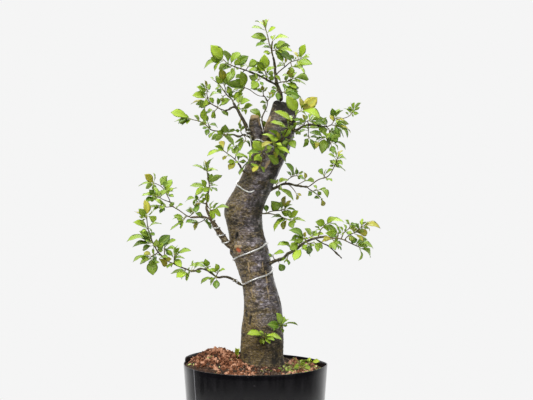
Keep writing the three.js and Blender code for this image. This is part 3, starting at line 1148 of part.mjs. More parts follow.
const wirePaths = {
  lower_wire: [
    ...coil(limbs.burr_branch[0], 0.72, 0.14, 3.5),
    ...aroundTrunk([[150, 243.5], [90, 244], [0, 243], [-30, 243.5], [-90, 251.5], [-150, 258], [-180, 260],
      [-270, 265], [-360, 268], [-380, 270.5], [-450, 277], [-500, 283], [-515, 286]]),
    ...coil(limbs.low_left_branch[0], 0.1, 0.24, 2),
  ],
  stub_wire: [
    ...coil(limbs.stub_branch[0], 0.3, 0.14, 2),
    ...[[252.4, 141.8], [254.3, 140.2], [258.1, 139.4], [261.9, 141.1], [265, 143], [269, 144.5],
      [272, 146.5], [276, 149.6]].map(([x, y]) => onFront(x, y)),
  ],
  mid_wire: aroundTrunk([[-84, 190.6], [-92, 192.6], [-112, 190.6], [-135, 187.4], [-165, 184.6],
    [-200, 181], [-240, 176], [-270, 172], [-280, 170]]),
};

// The path is walked in short steps that keep off the wood.
function makeWire(path, radius) {
  const rough = new THREE.CatmullRomCurve3(path, false, 'centripetal');
  const points = rough.getSpacedPoints(Math.round(rough.getLength() / steps.wire)).map(pushOut);
  return limbSolid(makeLimb(points, [radius, radius], steps.wire), sides.wire);
}

// Branches end just short of the trunk and let the wires pass.
function makeBranch(parts, grow) {
  const thick = 2;
  return wasm.Manifold.union(parts.map((limb) => (
    limbSolid(limb, limb.radii[0] > thick ? sides.thickBranch : sides.thinBranch, grow)
  )));
}

// What a twig starts on: an earlier twig, a branch, or the place and depth given for trunk and soil.
function twigStart(shoot, twigs, [x, y]) {
  if (twigs.length) return nearestOn(twigs, x, y);
  if (limbs[shoot.on]) return nearestOn(limbs[shoot.on], x, y);
  return { point: at(x, y, shoot.depth), radius: openTwig.groundRadius };
}

function makeTwig(shoot, twigs, [reach, ...places]) {
  const start = twigStart(shoot, twigs, places[0]);
  const passed = [0];
  places.slice(1).forEach(([x, y], index) => {
    passed.push(passed[index] + Math.hypot(x - places[index][0], y - places[index][1]));
  });
  const points = places.map(([x, y], index) => (
    at(x, y, start.point.y + (crownDepth * reach * passed[index]) / passed.at(-1))
  ));
  const first = twigs.length === 0;
  if (!first) points[0] = start.point.clone();
  const length = new THREE.CatmullRomCurve3(points).getLength();
  const tip = (first && shoot.cutRadius) || twigRadius.tip;
  const most = Math.min(twigRadius.most, start.radius);
  const base = THREE.MathUtils.clamp(tip + length * twigRadius.perLength, twigRadius.least, most);
  const twig = makeLimb(points, [Math.max(base, tip), tip], steps.twig);
  const buried = first ? start.radius + openTwig.buried : 0;
  twig.open = [Math.min(openTwig.mostBuried, buried / length), 1 - openTwig.tip / length];
  return twig;
}

function makeTwigs(shoot) {
  return shoot.twigs.reduce((twigs, line) => [...twigs, makeTwig(shoot, twigs, line)], []);
}

// A leaf's blade and stalk, with its stalk's end in the twig. The attempt changes how the leaf leans
// back, turns about its midrib and how large it is.
function makeLeaf(twigs, leaf, index, attempt) {
  const [baseX, baseY, tipX, tipY, seenWidthUnits, age, bow = 0] = leaf;
  const unit = view.eyeDistance / view.scale;
  const stem = nearestOn(twigs, baseX, baseY).point;
  const seenLength = Math.hypot(tipX - baseX, tipY - baseY) * unit;
  const seenWidth = seenWidthUnits * unit;
  const most = Math.min(leafShape.mostLonger * seenLength, leafLength);
  const length = Math.max(leafShape.leastLonger * seenLength, most);
  const lean = attempt.lean * (index % 2 ? 1 : -1) * Math.sqrt(length ** 2 - seenLength ** 2);
  const stalk = at(baseX, baseY, stem.y).distanceTo(stem);
  const base = at(baseX, baseY, stem.y + (lean * stalk) / seenLength);
  const tip = at(tipX, tipY, base.y + lean);
  const axis = tip.clone().sub(base).normalize();
  if (base.distanceTo(stem) < stalkShortest) base.copy(stem).addScaledVector(axis, stalkShortest);
  tip.lerp(base, 1 - attempt.size);
  const blade = base.distanceTo(tip);
  const width = attempt.size * THREE.MathUtils.clamp(leafWidthRatio * length, seenWidth, leafWidthMost);
  const seenSide = axis.clone().cross(new THREE.Vector3(0, 1, 0)).normalize();
  const away = seenSide.clone().cross(axis);
  const turn = Math.acos(Math.min(1, (attempt.size * seenWidth) / width)) + attempt.roll;
  const facing = Math.cos(turn) * (age === 'pale' ? -1 : 1);
  const upright = Math.abs(seenSide.z) < 0.01;
  const tilt = Math.sin(turn) * Math.sign(upright ? (index % 2) - 0.5 : seenSide.z);
  const side = seenSide.clone().multiplyScalar(facing).addScaledVector(away, tilt);
  const up = axis.clone().cross(side);
  const seenArch = (bow * unit) / Math.max(leafShape.leastTilt, Math.abs(tilt));
  const arch = bow
    ? THREE.MathUtils.clamp(seenArch, leafShape.archLeast * blade, leafShape.archMost * blade)
    : leafShape.arch * blade;
  const place = (forward, sideways, rise) => base.clone()
    .addScaledVector(axis, forward).addScaledVector(side, sideways).addScaledVector(up, rise);
  const fold = leafShape.fold * width;
  const thickness = leafThickness[age] ?? leafThickness.green;
  const outline = [
    place(0, -petioleWidth / 2, 0),
    place(leafShape.leftWidest * blade, -width / 2, arch + fold),
    tip,
    place(leafShape.rightWidest * blade, width / 2, arch + fold),
    place(0, petioleWidth / 2, 0),
  ];
  const faces = [1, -1].map((face) => (
    place(leafShape.apex * blade, 0, arch + (face * thickness) / 2)
  ));
  return { blade: boxed(lens(outline, faces)), whole: boxed(lens([stem, ...outline], faces)) };
}

// Thin solid over an outline, from one apex on each face.
function lens(outline, [upper, lower]) {
  const count = outline.length;
  const faces = [];
  for (let point = 0; point < count; point += 1) {
    const next = (point + 1) % count;
    faces.push(point, next, count, next, point, count + 1);
  }
  return facesToSolid([...outline, upper, lower], faces);
}

const attempts = [1, 0.85, 0.7].flatMap((size) => (
  [1, -1, 0.5, -0.5, 1.6, -1.6, 0, 2.2, -2.2].flatMap((lean) => (
    [0, 0.4, -0.4].map((roll) => ({ size, lean, roll }))
  ))
));

// A leaf is tried at several leans, turns and sizes until its blade is clear of everything.
function placeLeaf(twigs, leaf, index, { stem, others, leaves }) {
  const ownGap = 0.2;
  for (const attempt of attempts) {
    const made = makeLeaf(twigs, leaf, index, attempt);
    const wholes = leaves.map((other) => other.whole);
    const blades = leaves.map((other) => other.blade);
    if (isClear(made.whole, others, gap) && isClear(made.blade, [stem, ...wholes], ownGap)
      && isClear(made.whole, blades, ownGap)) return made;
  }
  return null;
}

// Assembly

const fatTrunk = makeTrunk(gap);
const wires = Object.entries(wirePaths).map(([name, path]) => [name, makeWire(path, wireRadius)]);
const fatWires = Object.values(wirePaths).map((path) => makeWire(path, wireRadius + 2 * gap));
const soil = makeSoil();
const fatWood = [
  fatTrunk, ...fatWires, ...Object.values(limbs).map((parts) => makeBranch(parts, gap)),
  soil.add(soil.translate([0, 0, 2 * gap])),
];

const solids = new Map([
  ['pot', makePot()],
  ['soil', soil],
  ['trunk', makeTrunk()],
  ...wires,
  ...Object.entries(limbs).map(([name, parts]) => [
    name, largestPiece(makeBranch(parts, 0).subtract(fatTrunk).subtract(wasm.Manifold.union(fatWires))),
  ]),
]);
const fixed = [...solids.values()].map(boxed);

// Every shoot's twigs come first, and then the leaves, which keep clear of all twigs.
const grown = Object.entries(shoots).map(([name, shoot]) => {
  const twigs = makeTwigs(shoot);
  const whole = wasm.Manifold.union(twigs.map((twig) => limbSolid(twig, sides.twig)));
  const stem = largestPiece(whole.subtract(wasm.Manifold.union(fatWood))).simplify(tidyWithin.stem);
  return { name, twigs, stem: boxed(stem), leaves: [], wanted: shoot.leaves };
});
grown.forEach((plant) => {
  const { twigs, stem, leaves, wanted } = plant;
  const rest = grown.filter((other) => other !== plant);
  const plants = rest.flatMap((other) => [other.stem, ...other.leaves.map((leaf) => leaf.whole)]);
  const others = [...fixed, ...plants];
  wanted.forEach((leaf, index) => {
    const made = placeLeaf(twigs, leaf, index, { stem, others, leaves });
    if (made) leaves.push(made);
  });
  const joined = wasm.Manifold.union([stem.solid, ...leaves.map((leaf) => leaf.whole.solid)]);
  solids.set(plant.name, joined.simplify(tidyWithin.shoot));
});

function material(colour, roughness, metalness = 0) {
  return new THREE.MeshStandardMaterial({ color: colour, roughness, metalness });
}

const looks = {
  pot: material('#1e1c21', 0.4),
  soil: material('#6b4a36', 0.95),
  trunk: material('#4d403a', 0.8),
  wire: material('#b9bcc0', 0.35, 1),
  branch: material('#5c4336', 0.75),
  spur: material('#5c4336', 0.75),
  shoot: material('#5f8a35', 0.55),
  weed: material('#9ab545', 0.6),
};

const group = new THREE.Group();
solids.forEach((solid, name) => group.add(meshOf(name, solid, looks[name.split('_').at(-1)])));

export default group;
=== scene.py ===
# Looks of a cherry plum bonsai in its black nursery pot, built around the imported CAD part.
# The CAD's leaves are plain closed lenses: each one is found again here and grows into a real leaf.
import json
import math
import random
from functools import partial

import bmesh
import bpy
import numpy as np
from mathutils import Matrix, Vector, noise
from mathutils.bvhtree import BVHTree

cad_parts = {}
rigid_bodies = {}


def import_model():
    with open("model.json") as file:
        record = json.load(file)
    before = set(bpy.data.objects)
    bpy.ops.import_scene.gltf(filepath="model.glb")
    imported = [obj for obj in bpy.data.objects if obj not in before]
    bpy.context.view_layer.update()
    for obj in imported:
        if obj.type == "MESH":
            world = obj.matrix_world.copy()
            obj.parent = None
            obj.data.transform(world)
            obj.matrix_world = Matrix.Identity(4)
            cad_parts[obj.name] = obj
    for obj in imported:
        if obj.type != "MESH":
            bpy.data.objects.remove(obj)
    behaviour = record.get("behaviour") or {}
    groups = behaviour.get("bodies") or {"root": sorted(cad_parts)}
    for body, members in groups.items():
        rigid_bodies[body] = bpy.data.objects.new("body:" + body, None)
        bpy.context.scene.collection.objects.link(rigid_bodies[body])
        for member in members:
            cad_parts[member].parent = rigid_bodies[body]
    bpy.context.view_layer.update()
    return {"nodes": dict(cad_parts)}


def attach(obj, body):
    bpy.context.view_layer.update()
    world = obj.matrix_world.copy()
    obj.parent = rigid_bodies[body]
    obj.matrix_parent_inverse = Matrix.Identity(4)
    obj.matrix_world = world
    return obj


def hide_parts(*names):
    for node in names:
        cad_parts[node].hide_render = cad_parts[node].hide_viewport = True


mm = 0.001
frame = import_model()
nodes = frame["nodes"]
random.seed(11)
print("frame loaded:", len(nodes), "nodes")

# Camera: the photograph's, level with the trunk's upper half.
view = {
    "width": 533, "height": 400,  # pixels of the photograph
    "focal": 966,  # pixels
    "sensor": 36,
    "place": (16.85, -1480, 434),  # mm
}
camera = bpy.data.objects.new("camera", bpy.data.cameras.new("camera"))
camera.data.sensor_width = view["sensor"]
camera.data.lens = view["sensor"] * view["focal"] / view["width"]
camera.data.clip_start = 0.05
camera.location = Vector(view["place"]) * mm
camera.rotation_euler = (math.radians(90), 0, 0)
bpy.context.collection.objects.link(camera)
bpy.context.scene.camera = camera


def photoPlaces(points):  # pixel column and row of points given in metres
    away = points[:, 1] / mm - view["place"][1]
    across = view["width"] / 2 + (points[:, 0] / mm - view["place"][0]) * view["focal"] / away
    down = view["height"] / 2 - (points[:, 2] / mm - view["place"][2]) * view["focal"] / away
    return across, down


def linear(colour):  # "#rrggbb" as Blender's linear colour
    parts = [int(colour[i:i + 2], 16) / 255 for i in (1, 3, 5)]
    return [c / 12.92 if c <= 0.04045 else ((c + 0.055) / 1.055) ** 2.4 for c in parts] + [1]


def smooth(value, low, high):
    share = np.clip((value - low) / (high - low), 0, 1)
    return share * share * (3 - 2 * share)


def addNode(tree, kind, inputs=None, out=0, stops=None, **settings):
    # adds a node, sets it, feeds its inputs with values or sockets and gives the output asked for;
    # a kind without a prefix is a shader node's
    node = tree.nodes.new(kind if "Node" in kind else "ShaderNode" + kind)
    for key, value in settings.items():
        setattr(node, key, value)
    for key, value in (inputs or {}).items():
        if isinstance(value, bpy.types.NodeSocket):
            tree.links.new(value, node.inputs[key])
        else:
            node.inputs[key].default_value = value
    if stops:
        elements = node.color_ramp.elements
        while len(elements) < len(stops):
            elements.new(0.5)
        for element, (position, colour) in zip(elements, stops):
            element.position = position
            element.color = linear(colour) if isinstance(colour, str) else (colour, colour, colour, 1)
    return node.outputs[out] if out is not None and len(node.outputs) else node


def newMaterial(name):
    material = bpy.data.materials.new(name)
    material.use_nodes = True
    material.node_tree.nodes.clear()
    return material, partial(addNode, material.node_tree)


def closeMaterial(add, colour, roughness, bump=None, bumpDepth=0.3 * mm, through=0, **shader):
    # through is the share of the light that shines through a thin thing, and shader holds the
    # fixed values of the shader's own sockets, with _ for a space
    fixed = {key.replace("_", " "): value for key, value in shader.items()}
    fixed.update({"Base Color": colour, "Roughness": roughness})
    if bump is not None:
        fixed["Normal"] = add("Bump", {"Height": bump, "Distance": bumpDepth, "Strength": 1.0})
    surface = add("BsdfPrincipled", fixed)
    if through:
        glow = add("BsdfTranslucent", {"Color": colour})
        surface = add("MixShader", {0: through, 1: surface, 2: glow})
    add("OutputMaterial", {"Surface": surface}, out=None)


def patternAt(add, cell, stretch=(1, 1, 1), detail=3.0, roughness=0.55):
    # noise on Object coordinates whose features are about cell mm wide
    place = add("TexCoord", out="Object")
    scale = [1 / (cell * mm * s) for s in stretch]
    place = add("Mapping", {"Vector": place, "Scale": scale})
    return add("TexNoise", {"Vector": place, "Scale": 1.0, "Detail": detail, "Roughness": roughness})


def mergedCopy(name):  # a CAD node's mesh with its loose triangles joined, as a bmesh
    shape = bmesh.new()
    shape.from_mesh(nodes[name].data)
    bmesh.ops.remove_doubles(shape, verts=shape.verts, dist=0.003 * mm)
    shape.verts.ensure_lookup_table()
    shape.verts.index_update()
    return shape


def tidyFaces(shape):  # pairs of triangles become four-sided faces, which subdivide evenly
    bmesh.ops.join_triangles(
        shape, faces=shape.faces, angle_face_threshold=math.radians(50),
        angle_shape_threshold=math.radians(60))
    bmesh.ops.recalc_face_normals(shape, faces=shape.faces)


def pushOut(shape, share, most, thicker=0):  # makes up for what subdivision will round away
    moves = []
    for vertex in shape.verts:
        near = [edge.other_vert(vertex).co for edge in vertex.link_edges]
        move = share * (vertex.co - sum(near, Vector()) / len(near)) if near else Vector()
        along = vertex.normal * move.dot(vertex.normal)
        moves.append(along if along.length < most else along.normalized() * most)
    for vertex, move in zip(shape.verts, moves):
        vertex.co += move + vertex.normal * thicker


def skinOf(names):  # the surface of some CAD nodes, to find the nearest place on
    points, faces = [], []
    for name in names:
        mesh = nodes[name].data
        first = len(points)
        points += [vertex.co.copy() for vertex in mesh.vertices]
        faces += [[first + index for index in polygon.vertices] for polygon in mesh.polygons]
    return BVHTree.FromPolygons(points, faces)


def sink(shape, host, reach, depth):  # ends that only just miss their host go a little into it
    for vertex in shape.verts:
        place, normal = host.find_nearest(vertex.co, reach)[:2]
        if place is not None:
            vertex.co = place - normal * depth


def meshObject(name, shape, material, collection=None):
    mesh = bpy.data.meshes.new(name)
    if isinstance(shape, bmesh.types.BMesh):
        shape.to_mesh(mesh)
        shape.free()
    else:
        mesh.from_pydata(*shape)
    mesh.materials.append(material)
    mesh.polygons.foreach_set("use_smooth", [True] * len(mesh.polygons))
    thing = bpy.data.objects.new(name, mesh)
    (collection or bpy.context.collection).objects.link(thing)
    return thing


def flatFaces(thing):
    thing.data.polygons.foreach_set("use_smooth", [False] * len(thing.data.polygons))


def asMesh(thing):  # what the object's modifiers make, kept as its plain mesh
    graph = bpy.context.evaluated_depsgraph_get()
    mesh = bpy.data.meshes.new_from_object(
        thing.evaluated_get(graph), preserve_all_data_layers=True, depsgraph=graph)
    thing.modifiers.clear()
    thing.data = mesh
    return thing


def rounded(name, shape, material, look, host=None):  # a CAD node's shape, swollen and subdivided
    tidyFaces(shape)
    pushOut(shape, look["regain"], look["regainMost"] * mm, look.get("bark", 0) * mm)
    if host:
        sink(shape, host, look["sinkReach"] * mm, look["sinkDepth"] * mm)
    thing = meshObject(name, shape, material)
    modifier = thing.modifiers.new("rounding", "SUBSURF")
    modifier.levels = modifier.render_levels = look["levels"]
    return asMesh(thing)


def pointsAndNormals(mesh):
    points, normals = (np.zeros(len(mesh.vertices) * 3) for _ in range(2))
    mesh.vertices.foreach_get("co", points)
    mesh.vertex_normals.foreach_get("vector", normals)
    return points.reshape(-1, 3), normals.reshape(-1, 3)


def emboss(mesh, points, normals, depth):  # depth in mm
    mesh.vertices.foreach_set("co", (points + normals * depth[:, None] * mm).ravel())
    mesh.update()


def setAttribute(mesh, name, values, kind="FLOAT", domain="POINT"):  # for a material or a tree
    attribute = mesh.attributes.new(name, kind, domain)
    attribute.data.foreach_set("value" if kind == "FLOAT" else "vector", np.ravel(values))


def noiseAt(points, cell, stretch=(1, 1, 1), shift=0):  # about -1 to 1, features cell mm wide
    scaled = points / (np.array(stretch) * cell * mm) + shift
    return np.array([noise.noise(Vector(p)) for p in scaled])


def finish(thing, slot, *replaced):
    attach(thing, "root")
    if replaced:
        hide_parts(*replaced)


def newTree(name, sockets):
    tree = bpy.data.node_groups.new(name, "GeometryNodeTree")
    tree.interface.new_socket("Geometry", in_out="OUTPUT", socket_type="NodeSocketGeometry")
    for label, kind in {"Geometry": "Geometry", **sockets}.items():
        tree.interface.new_socket(label, in_out="INPUT", socket_type="NodeSocket" + kind)
    return tree, partial(addNode, tree), tree.nodes.new("NodeGroupInput").outputs


def closeTree(add, geometry, given):
    geometry = add("GeometryNodeRealizeInstances", {"Geometry": geometry})
    geometry = add("GeometryNodeSetMaterial", {"Geometry": geometry, "Material": given["Matter"]})
    add("NodeGroupOutput", {0: geometry}, out=None)


def grow(thing, tree, **values):  # runs a tree on the object and keeps what it makes
    modifier = thing.modifiers.new(tree.name, "NODES")
    modifier.node_group = tree
    for item in tree.interface.items_tree:
        if item.in_out == "INPUT" and item.name in values:
            modifier[item.identifier] = values[item.name]
    return asMesh(thing)


def clearShapes(collection):  # the small shapes that a tree has already copied
    for thing in list(collection.objects):
        bpy.data.objects.remove(thing)


# Materials

bark = {
    "deep": "#17110d", "brown": "#54442f", "light": "#b19e7c",
    "purpleDeep": "#3a3033", "purple": "#857b82", "silver": "#dad4da",
    "olive": "#8a7432", "cork": "#b5a27c", "tan": "#b59b72",
    # the painted shade in pits and creases, the sealing paste and the fresh cut
    "hollow": "#100b08", "seal": "#2a2421", "cut": "#b9562f",
    "patch": 17, "shadowBlotch": 8, "fleck": 2.6, "row": 3.2, "algaeSpot": 1.9,  # mm
    "relief": 0.7,
}


def makeTrunkBark():
    # Plum bark, grown: a tight dark brown skin with silvery purple-grey patches, cork spots in
    # level rows and an olive film of algae; dull, with a faint sheen where it is smooth.
    # Its colour also carries painted shade: dark blotches, a shaded side, and dark pits and creases.
    material, add = newMaterial("plum_trunk_bark")
    flecks = patternAt(add, bark["fleck"], (1.6, 1.6, 0.75), 5, 0.75)
    rows = patternAt(add, bark["row"], (3.6, 3.6, 0.55), 3, 0.6)
    patterns = {
        "silver": (patternAt(add, bark["patch"], (1.3, 1.3, 0.8), 4, 0.6), (0.42, 0.0), (0.5, 1.0)),
        "algae": (patternAt(add, bark["algaeSpot"], (1.2, 1.2, 1), 5, 0.75), (0.47, 0.0), (0.6, 1.0)),
        # random dark blotches of painted shadow, in the deepest bark brown
        "shadowBlotches": (patternAt(add, bark["shadowBlotch"], (1.5, 1.5, 0.7), 4, 0.65), (0.38, 0.85), (0.52, 0.0)),
        "corks": (rows, (0.6, 0.0), (0.72, 0.55)),
    }
    shares = {}
    for name, (pattern, *stops) in patterns.items():
        shares[name] = add("ValToRGB", {"Fac": pattern}, stops=stops)
    for name in ("smoothSide", "algaeSide", "shade", "pale", "dark", "sealed", "orange"):
        shares[name] = add("Attribute", out="Fac", attribute_name=name)
    for name, side in (("silver", "smoothSide"), ("algae", "algaeSide")):
        shares[name] = add("Math", {0: shares[name], 1: shares[side]}, operation="MULTIPLY")
    colour = add("ValToRGB", {"Fac": flecks}, stops=[
        (0.36, bark["deep"]), (0.5, bark["brown"]), (0.64, bark["light"])])
    silver = add("ValToRGB", {"Fac": flecks}, stops=[
        (0.38, bark["purpleDeep"]), (0.54, bark["purple"]), (0.66, bark["silver"])])
    # after the bark's own colours come the painted shadow blotches, the painted shade of the side and
    # the painted shade in pits and creases
    for name, tint in {
        "silver": silver, "algae": "olive", "shadowBlotches": "deep", "shade": "deep", "corks": "cork",
        "pale": "tan", "dark": "hollow", "sealed": "seal", "orange": "cut",
    }.items():
        tint = linear(bark[tint]) if isinstance(tint, str) else tint
        colour = add("Mix", {0: shares[name], 6: colour, 7: tint}, out=2, data_type="RGBA")
    gloss = add("MapRange", {0: shares["silver"], 3: 0.7, 4: 0.3})
    gloss = add("Math", {0: gloss, 1: shares["sealed"]}, operation="MAXIMUM")
    height = add("Math", {0: flecks, 1: rows}, operation="ADD")
    closeMaterial(add, colour, gloss, height, bark["relief"] * mm, Specular_IOR_Level=0.5)
    return material


def makeBranchBark(name, stops, cell):
    # Young plum bark, grown: thin and dark brown with grey skin, greener towards the tips.
    material, add = newMaterial(name)
    grain = patternAt(add, cell, (1, 1, 0.7), 4, 0.65)
    colour = add("ValToRGB", {"Fac": grain}, stops=stops)
    closeMaterial(add, colour, 0.62, grain, 0.35 * mm, Specular_IOR_Level=0.35)
    return material


leafFinish = {
    "young": "#aaa536", "fresh": "#a0ba33", "green": "#87a32d", "dark": "#5f8020",
    "under": "#a5be60", "rib": "#b3c85c", "bronze": "#96702f",
    "bronzePatch": 9,  # mm
    "paler": 0.62,  # how far the underside goes from the upper side's colour to its own
    "dimmest": 1.12, "brightest": 1.6,  # times its colour, from leaf to leaf
    "veins": 44.0,  # radians along the leaf, which makes seven pairs
    "veinSlant": 0.35, "through": 0.2,
}


def makeLeafMatter(name, hue):
    # Plum leaf, grown: thin, waxy and glossy above with a pale midrib, matt and minty below.
    look = leafFinish
    material, add = newMaterial(name)
    read = {}
    for key in ("age", "tone", "under"):
        read[key] = add("Attribute", out="Fac", attribute_name=key)
    colour = add("ValToRGB", {"Fac": read["age"]}, stops=[
        (0.0, look["young"]), (0.33, look["fresh"]), (0.67, look["green"]), (1.0, look["dark"])])
    bronze = patternAt(add, look["bronzePatch"], (1, 1, 1), 2, 0.5)
    bronze = add("ValToRGB", {"Fac": bronze}, stops=[(0.5, 0.0), (0.66, 0.4)])
    isYoung = add("MapRange", {0: read["age"], 1: 0.0, 2: 0.2, 3: 1.0, 4: 0.0})
    bronze = add("Math", {0: bronze, 1: isYoung}, operation="MULTIPLY")
    colour = add("Mix", {0: bronze, 6: colour, 7: linear(look["bronze"])}, out=2, data_type="RGBA")
    bright = add("MapRange", {0: read["tone"], 3: look["dimmest"], 4: look["brightest"]})
    colour = add("HueSaturation", {"Color": colour, "Value": bright, "Hue": hue})
    under = linear(look["under"])
    below = add("Mix", {0: look["paler"], 6: colour, 7: under}, out=2, data_type="RGBA")
    colour = add("Mix", {0: read["under"], 6: colour, 7: below}, out=2, data_type="RGBA")
    place = add("Attribute", out="Vector", attribute_name="leafPlace")
    place = add("SeparateXYZ", {0: place}).node.outputs
    side = add("Math", {0: place[1]}, operation="ABSOLUTE")
    rib = add("MapRange", {0: side, 1: 0.03, 2: 0.14, 3: 0.75, 4: 0.0})
    slant = add("Math", {0: side, 1: look["veinSlant"]}, operation="MULTIPLY")
    along = add("Math", {0: place[0], 1: slant}, operation="SUBTRACT")
    waves = add("Math", {0: along, 1: look["veins"]}, operation="MULTIPLY")
    waves = add("Math", {0: waves}, operation="SINE")
    veins = add("MapRange", {0: waves, 1: 0.7, 2: 1.0, 3: 0.0, 4: 0.25})
    lines = add("Math", {0: rib, 1: veins}, operation="MAXIMUM")
    colour = add("Mix", {0: lines, 6: colour, 7: linear(look["rib"])}, out=2, data_type="RGBA")
    gloss = add("MapRange", {0: read["under"], 3: 0.34, 4: 0.62})
    closeMaterial(add, colour, gloss, waves, 0.05 * mm, look["through"], Specular_IOR_Level=0.5)
    return material


def makeWireMetal():
    # Annealed aluminium bonsai wire, drawn: pale grey metal with a soft, slightly dull shine.
    material, add = newMaterial("annealed_aluminium_wire")
    scuffs = patternAt(add, 3, (1, 1, 1), 3, 0.6)
    colour = add("ValToRGB", {"Fac": scuffs}, stops=[(0.35, "#b9b8b6"), (0.65, "#e2e1df")])
    rough = add("MapRange", {0: scuffs, 3: 0.3, 4: 0.5})
    closeMaterial(add, colour, rough, Metallic=0.85)
    return material


potFinish = {
    "deep": "#050407", "black": "#09070c", "rubbed": "#151317", "dust": "#6e6a68",
    "seamGrey": "#77757a", "streak": 7, "speck": 2.4, "cloud": 45,  # mm
}


def makePotPlastic():
    # Recycled black polythene, blow moulded: smooth and half glossy, with dust and rub marks
    # that run down the wall and a pale grey line painted along the seam.
    look = potFinish
    material, add = newMaterial("black_polythene_blow_moulded")
    streaks = patternAt(add, look["streak"], (1, 1, 14), 4, 0.6)
    specks = patternAt(add, look["speck"], (1, 1, 1.3), 2, 0.5)
    clouds = patternAt(add, look["cloud"], (1, 1, 1), 2, 0.5)
    blacks = [(0.4, look["deep"]), (0.62, look["black"]), (0.8, look["rubbed"])]
    colour = add("ValToRGB", {"Fac": streaks}, stops=blacks)
    specks = add("ValToRGB", {"Fac": specks}, stops=[(0.7, 0.0), (0.76, 0.5)])
    clouds = add("ValToRGB", {"Fac": clouds}, stops=[(0.5, 0.0), (0.7, 1.0)])
    dust = add("Math", {0: specks, 1: clouds}, operation="MULTIPLY")
    seam = add("Attribute", out="Fac", attribute_name="seam")
    # dust, and a pale grey line painted along the seam
    for share, tint in ((dust, "dust"), (seam, "seamGrey")):
        colour = add("Mix", {0: share, 6: colour, 7: linear(look[tint])}, out=2, data_type="RGBA")
    rough = add("MapRange", {0: streaks, 1: 0.3, 2: 0.7, 3: 0.12, 4: 0.24})
    closeMaterial(add, colour, rough, streaks, 0.05 * mm, Specular_IOR_Level=0.31)
    return material


def makeEarth(name, stops, cell):
    # Bark compost, laterite crumbs, grit or cuttings: dry, crumbly and quite matt.
    material, add = newMaterial(name)
    grain = patternAt(add, cell, (1, 1, 1), 5, 0.7)
    tone = add("Attribute", out="Fac", attribute_name="tone")
    spread = add("MapRange", {0: tone, 3: -0.16, 4: 0.16})
    mixed = add("Math", {0: grain, 1: spread}, operation="ADD")
    colour = add("ValToRGB", {"Fac": mixed}, stops=stops)
    closeMaterial(add, colour, 0.93, grain, 0.5 * mm, Specular_IOR_Level=0.2)
    return material


trunkBark = makeTrunkBark()
branchBark = makeBranchBark("plum_branch_bark", [
    (0.36, "#231a13"), (0.5, "#5b4a35"), (0.64, "#9c8e70")], 2.6)
youngBark = makeBranchBark("plum_young_branch_bark", [
    (0.36, "#1a1610"), (0.5, "#453c28"), (0.66, "#857d5e")], 2.4)
twigBark = makeBranchBark("plum_twig_bark", [
    (0.32, "#2c2114"), (0.5, "#544424"), (0.68, "#7c7a38")], 3.5)
stalkSkin = makeBranchBark("plum_leaf_stalk", [(0.35, "#8f8a3c"), (0.65, "#a9ae55")], 4)
leafMatter = makeLeafMatter("plum_leaf", 0.5)
weedMatter = makeLeafMatter("weed_leaf", 0.485)
wireMetal = makeWireMetal()
potPlastic = makePotPlastic()
soilEarth = makeEarth("compost_and_laterite", [
    (0.36, "#150d09"), (0.5, "#3a271b"), (0.66, "#7a5a45")], 2.5)
lumpEarth = makeEarth("laterite_crumbs", [
    (0.32, "#3d2217"), (0.5, "#8b583b"), (0.68, "#d3a284")], 2.2)
gritEarth = makeEarth("root_grit", [(0.34, "#2b221b"), (0.52, "#5c4d3f"), (0.7, "#a69683")], 1.4)
cutGrass = makeEarth("cut_grass", [(0.35, "#7a9a2e"), (0.5, "#b4c656"), (0.66, "#dfe0a4")], 3)
print("materials made")

# Trunk: the CAD's trunk with its bark, drawn finer and marked where the photograph shows marks.
trunkLook = {
    "levels": 3, "regain": 0.6, "regainMost": 1.5,  # mm, as the sizes below are
    "swell": 0.7, "swellCell": 19,
    "wrinkle": 0.34, "wrinkleCell": 3.4,
    "grain": 0.3, "grainCell": 2.3, "rootGrain": 0.55,
    # heights between which each of them fades
    "rootTop": (200, 245), "algaeTop": (200, 290), "footTop": (185, 240), "highFrom": (400, 470),
}
